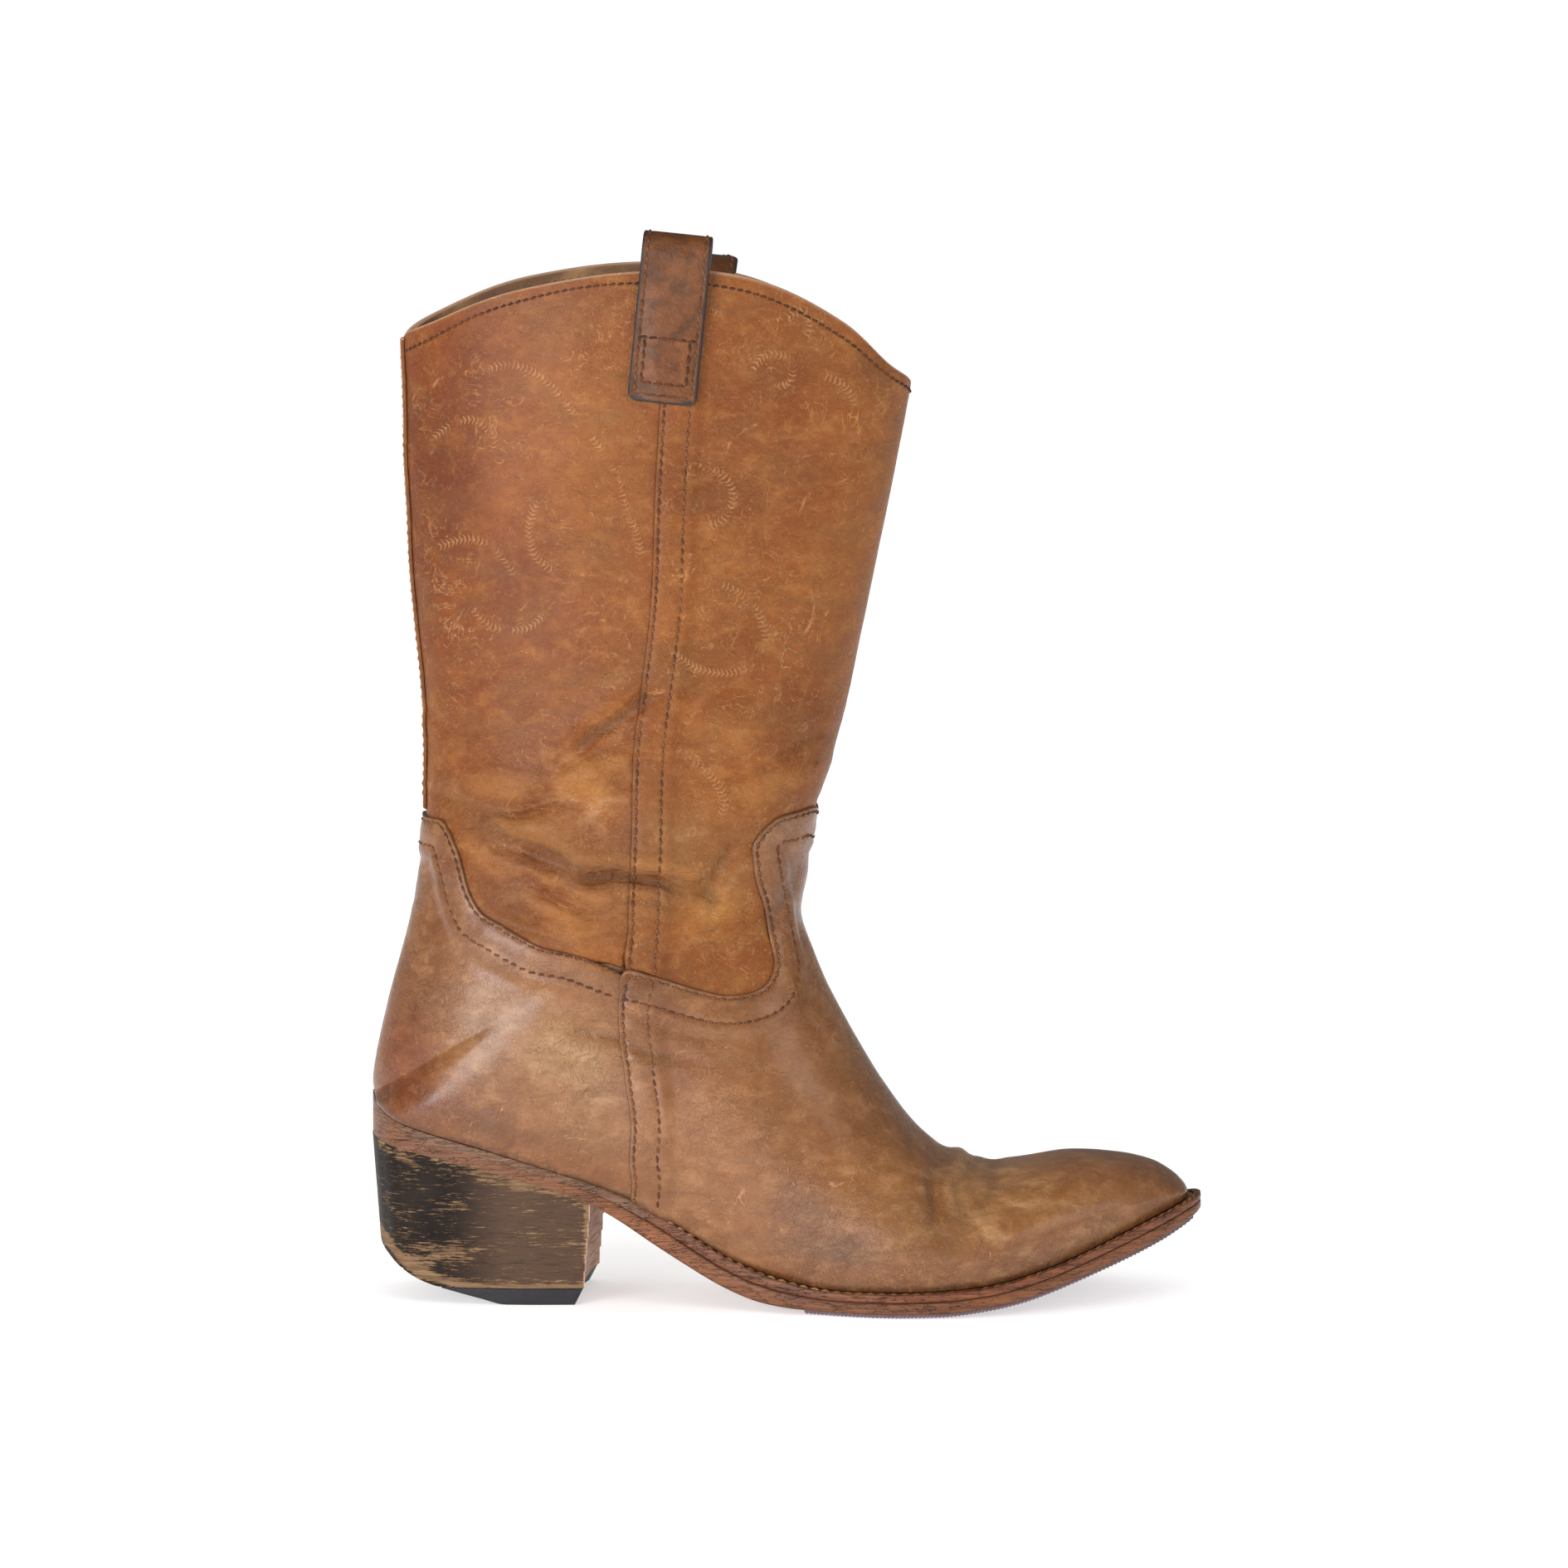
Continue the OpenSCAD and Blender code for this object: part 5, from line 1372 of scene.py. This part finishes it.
# ---------------------------------------------------------------- stitches
def offset_row(path, distance, pick):
    """Stations and arc places of a line beside a path, at a distance along the leather."""
    path = path[np.abs(path[:, 1]) < 0.985]
    t, v = path[:, 0].copy(), path[:, 1].copy()
    base = lift(path)
    aside = np.cross(outward(t, v), unit(np.gradient(base, axis=0)))
    aside *= np.sign(aside[:, pick].sum()) * (1 if pick == 0 else -1)
    h, steps = 0.01, 6
    for _ in range(steps):
        along_t = (last(t + h, v) - last(t - h, v)) / (2 * h)
        along_v = (last(t, v + h) - last(t, v - h)) / (2 * h)
        a, b, c = (along_t**2).sum(-1), (along_t * along_v).sum(-1), (along_v**2).sum(-1)
        p, q = (aside * along_t).sum(-1), (aside * along_v).sum(-1)
        det = a * c - b * b
        t = np.clip(t + (c * p - b * q) / det * distance / steps, 0.1, 22.8)
        v = np.clip(v + (a * q - b * p) / det * distance / steps, -0.985, 0.985)
    far = near(last(t, v), base)[0] > distance * 0.96 - 0.1
    return t[far], v[far]


SEAM_TV = seam_path(1)


def before_seam(t, v):
    return np.abs(v) < np.interp(t, SEAM_TV[:, 0], SEAM_TV[:, 1])


def below_yoke(t, v):
    places = np.concatenate([[0.258, 0.325, 0.37, 0.408], COUNTER_TOP[:, 1]])
    stations = np.concatenate([[11.6, 11.85, 12.35, 13.0], COUNTER_TOP[:, 0]])
    return t < np.interp(np.abs(v), places, stations)


def surface_row(t, v, height):
    """Points and normals on the worn leather; height is one of the lap rules below."""
    p = last(t, v)
    n = outward(t, v)
    seam, yoke = seam_distance(p, v, SEAMS), seam_distance(p, v, YOKES)
    laps = lap_height(seam) + channel(seam), lap_height(yoke) + channel(yoke)
    rise = relief(p, v) + height(t, v, *laps)
    return p + n * rise[:, None], n


def yoke_rule(t, v, seam, yoke):
    return yoke + np.where(before_seam(t, v), seam, 0)


def seam_rule(t, v, seam, yoke):
    return seam + np.where(below_yoke(t, v), yoke, 0)


def top_rule(t, v, seam, yoke):
    return np.where(before_seam(t, v), seam, 0)


# One stitch: place along it, height over the leather and radius, as shares of its length and radius
STITCH = [(0, -0.75, 0.55), (0.08, 0.1, 0.9), (0.28, 0.5, 1.08), (0.5, 0.55, 1.1), (0.72, 0.5, 1.08),
          (0.92, 0.1, 0.9), (1, -0.75, 0.55)]


def sew(name, rows, replaces, material, radius=0.42, pitch=3.1, share=0.66, seed=1, soil=None):
    """Separate stitches along rows of surface points, with a needle hole at both ends of each."""
    rng = np.random.default_rng(seed)
    points, faces, holes = [], [], []
    sides = 7
    turns = np.arange(sides) * 2 * np.pi / sides
    ring = lambda centre, right, up: [centre + right * math.cos(a) + up * math.sin(a) for a in turns]
    band = lambda low, high: [[low + k, low + (k + 1) % sides, high + (k + 1) % sides, high + k]
                              for k in range(sides)]
    for line, normals in rows:
        run = run_along(line)
        step = run[-1] / max(int(run[-1] / pitch), 1)
        read = lambda values, s: np.array([np.interp(s, run, part) for part in values.T])
        for i in range(round(run[-1] / step)):
            start = (i + (1 - share) / 2 + rng.uniform(-0.03, 0.03)) * step
            end = start + share * step
            a, b, middle = read(line, start), read(line, end), read(line, (start + end) / 2)
            direction = unit(b - a)
            n = unit(read(normals, (start + end) / 2))
            across = unit(np.cross(n, direction))
            yaw = 0.22 + rng.uniform(-0.1, 0.1)
            base = len(points)
            for s, high, thick in STITCH:
                centre = mix(a, b, s)
                if 0.2 <= s <= 0.8:
                    centre = mix(centre, middle, 1 - abs(s - 0.5) * 2)
                centre = centre + n * high * radius + across * yaw * (s - 0.5) * step * 0.5
                points += ring(centre, radius * thick * across, radius * thick * 0.85 * n)
            for low in range(base, len(points) - sides, sides):
                faces += band(low, low + sides)
            faces += [list(range(base + sides - 1, base - 1, -1)),
                      list(range(len(points) - sides, len(points)))]
            holes += [(end_point + direction * out, n, direction, across)
                      for end_point, out in ((a, -0.12), (b, 0.12))]
    thread_faces = len(faces)
    for centre, n, direction, across in holes:
        base = len(points)
        points += ring(centre + n * 0.06, radius * 0.6 * direction, radius * 0.75 * across)
        points.append(centre + n * 0.1)
        points += ring(centre - n * 0.3, radius * 0.6 * direction, radius * 0.6 * across)
        faces += [[base + sides, base + (k + 1) % sides, base + k] for k in range(sides)]
        faces += band(base, base + sides + 1)
        faces.append(list(range(base + sides + 1, base + 2 * sides + 1)))
    flat = np.array(points)
    piece = make(name, flat, faces, replaces, material,
                 {"tint": np.ones((len(flat), 3)) if soil is None else soil(flat)})
    piece.data.materials.append(HOLE)
    in_hole = np.arange(len(faces)) >= thread_faces
    piece.data.polygons.foreach_set("material_index", in_hole.astype(np.int32))
    return piece


side_paths = {side: yoke_path(side) for side in (-1, 1)}
yoke_whole = np.concatenate([side_paths[-1][::-1], side_paths[1][1:]])
vamp_rows, counter_rows, seam_rows = [], [], []
for gap in ROWS:
    t, v = offset_row(yoke_whole, gap, 2)
    on_vamp = before_seam(t, v)
    points, normals = surface_row(t, v, yoke_rule)
    marks = np.flatnonzero(np.diff(on_vamp.astype(int)))
    first, middle, end = (slice(a, b) for a, b in ((None, marks[0] + 1), (marks[0] + 1, marks[-1] + 1),
                                                   (marks[-1] + 1, None)))
    vamp_rows.append((points[middle], normals[middle]))
    counter_rows += [(points[first], normals[first]), (points[end], normals[end])]
    for side in (-1, 1):
        t, v = offset_row(seam_path(side)[::-1], gap, 0)
        inside = t < top_station(v) - 0.1
        seam_rows.append(surface_row(t[inside], v[inside], seam_rule))
sew("vamp_stitches", vamp_rows, ["thread_vamp"], TAN_THREAD, seed=2)
sew("counter_stitches", counter_rows, ["thread_counter"], TAN_THREAD, seed=3)
sew("side_seam_stitches", seam_rows, ["thread_side_seams"], TAN_THREAD, seed=4)

TOP_ROW_DROP, STATION_HEIGHT = 3.0, 25  # millimetres, near the top line
v = np.linspace(-1, 1, 700)
t = top_station(v) - TOP_ROW_DROP / STATION_HEIGHT
top_row = surface_row(t, v, top_rule)
lining_points, lining_normals = surface_row(t, v, lambda t, v, seam, yoke: -(LINING_DEPTH + LINING))
sew("top_line_stitches", [top_row, (lining_points, -lining_normals)], ["thread_top_line"],
    BROWN_THREAD, 0.4, 2.6, 0.58, seed=5)
strip_rows = []
for edge in (-1, 1):
    r = np.linspace(0.03, 0.97, 200)
    t, v = back_strip_place(np.full_like(r, edge * 0.75), r)
    strip_rows.append(surface_row(t, v, lambda t, v, seam, yoke: 0.9))
sew("back_strip_stitches", strip_rows, ["thread_back_strip"], CREAM_THREAD, seed=6)

strap_rows, box_rows = [], []
for strap in (near_strap, far_strap):
    top_s = strap.rows[-1] * 0.8
    for edge in (-1, 1):
        strap_rows.append(strap.row([(edge * 9.1, 3.2), (edge * 9.1, top_s)]))
        box_rows.append(strap.row([(edge * 7.2, 6.2), (edge * 7.2, 20.6)]))
    strap_rows.append(strap.row([(-8.2, 2.4), (8.2, 2.4)]))
    box_rows += [strap.row([(-7.0, 6.2), (7.0, 6.2)]), strap.row([(-9.3, 20.8), (9.3, 20.8)])]
sew("pull_strap_stitches", strap_rows, ["thread_pull_straps"], TAN_THREAD,
    0.36, 2.9, 0.7, seed=7)
sew("strap_box_stitches", box_rows, [], BROWN_THREAD, 0.42, 3.1, 0.7, seed=8)

welt_t = np.concatenate([np.linspace(10.7, 0, 700), np.linspace(0, 10.7, 700)[1:]])
welt_side = np.concatenate([np.full(700, -1), np.full(699, 1)])
xy = outline(welt_t, welt_side, ledge(welt_t) * 0.52)
welt_points = column(xy, seat(xy[:, 0]) - 0.3)
sew("welt_stitches", [(welt_points, np.broadcast_to([0.0, 0.0, 1.0], welt_points.shape))], ["thread_welt"],
    CREAM_THREAD, 0.55, 3.7, 0.74, seed=9,
    soil=lambda p: mix(1.0, np.array([0.42, 0.36, 0.32]), smooth(p[:, 0], 12, 34)[:, None]))


# ---------------------------------------------------------------- materials of the CAD pieces
BOARD = plain_leather("stiffener_board", rgb(150, 108, 72), rgb(112, 78, 52))
INSOLE = plain_leather("insole_leather", rgb(176, 136, 96), rgb(128, 92, 62), 0.12)
CORK = plain_leather("cork_fill", rgb(164, 116, 74), rgb(92, 60, 40), 0.5, 0.8)
STEEL = brushed_steel("shank_steel")
CAD_LOOKS = {"heel_stiffener": BOARD, "toe_puff": BOARD, "insole": INSOLE, "heel_sock": LINING_SKIN,
             "shank": STEEL, "shank_cover": INSOLE, "cork_filler": CORK, "heel_nails": STEEL}
for node_name, look in CAD_LOOKS.items():
    for material_slot in NODES[node_name].material_slots:
        material_slot.material = look


# ---------------------------------------------------------------- floor, lights and camera
def floor_material():
    n = Nodes("studio_floor", rgb(252, 252, 252))
    n.lay(rgb(250, 250, 251), n.noise(0.002, 2, 0.5))
    return n.finish(0.6, Emission_Color=(1.0, 1.0, 1.0), Emission_Strength=0.5)


floor_mesh = bpy.data.meshes.new("floor")
floor_mesh.from_pydata([(-6, -6, 0), (6, -6, 0), (6, 8, 0), (-6, 8, 0)], [], [(0, 1, 2, 3)])
floor_mesh.materials.append(floor_material())
floor = bpy.data.objects.new("floor", floor_mesh)
scene = bpy.context.scene
scene.collection.objects.link(floor)

world = bpy.data.worlds.new("studio")
world.use_nodes = True
world_nodes, world_links = world.node_tree.nodes, world.node_tree.links
rays = world_nodes.new("ShaderNodeLightPath").outputs


def by_ray(kind, others, these):
    """A strength for one kind of ray and another for the rest."""
    level = world_nodes.new("ShaderNodeMapRange")
    level.inputs["To Min"].default_value, level.inputs["To Max"].default_value = others, these
    world_links.new(rays[kind], level.inputs["Value"])
    return level.outputs["Result"]


sky = world_nodes["Background"]
sky.inputs["Color"].default_value = (1.0, 1.0, 1.0, 1)
strength = world_nodes.new("ShaderNodeMath")
strength.operation = "MULTIPLY"
world_links.new(by_ray("Is Camera Ray", 0.62, 1.0), strength.inputs[0])
world_links.new(by_ray("Is Glossy Ray", 1.0, 0.3), strength.inputs[1])
world_links.new(strength.outputs["Value"], sky.inputs["Strength"])
scene.world = world
scene.view_settings.view_transform = "Standard"


def softbox(name, place, target, size, power, colour=(1.0, 1.0, 1.0)):
    light = bpy.data.lights.new(name, "AREA")
    light.shape = "RECTANGLE"
    light.size, light.size_y = size
    light.energy = power
    light.color = colour
    lamp = bpy.data.objects.new(name, light)
    lamp.location = place
    lamp.rotation_euler = (Vector(target) - Vector(place)).to_track_quat("-Z", "Y").to_euler()
    scene.collection.objects.link(lamp)


softbox("key_left", (-1.05, -1.6, 0.42), (-0.05, 0, 0.15), (1.0, 0.8), 27, (1.0, 0.95, 0.97))
softbox("fill_right", (1.5, -1.3, 0.9), (0, 0, 0.15), (0.9, 0.9), 7)

AZIMUTH, ELEVATION, DISTANCE = math.radians(2), math.radians(6.5), 2.6
AIM = Vector((0, 0, 0.1661))
SENSOR, FOCAL_LENGTH = 36, 185.1
camera_data = bpy.data.cameras.new("camera")
camera_data.sensor_width = SENSOR
camera_data.lens = FOCAL_LENGTH
camera_data.clip_end = 100
camera = bpy.data.objects.new("camera", camera_data)
camera.location = AIM + DISTANCE * Vector((math.sin(AZIMUTH) * math.cos(ELEVATION),
                                           -math.cos(AZIMUTH) * math.cos(ELEVATION), math.sin(ELEVATION)))
camera.rotation_euler = (AIM - camera.location).to_track_quat("-Z", "Y").to_euler()
scene.collection.objects.link(camera)
scene.camera = camera
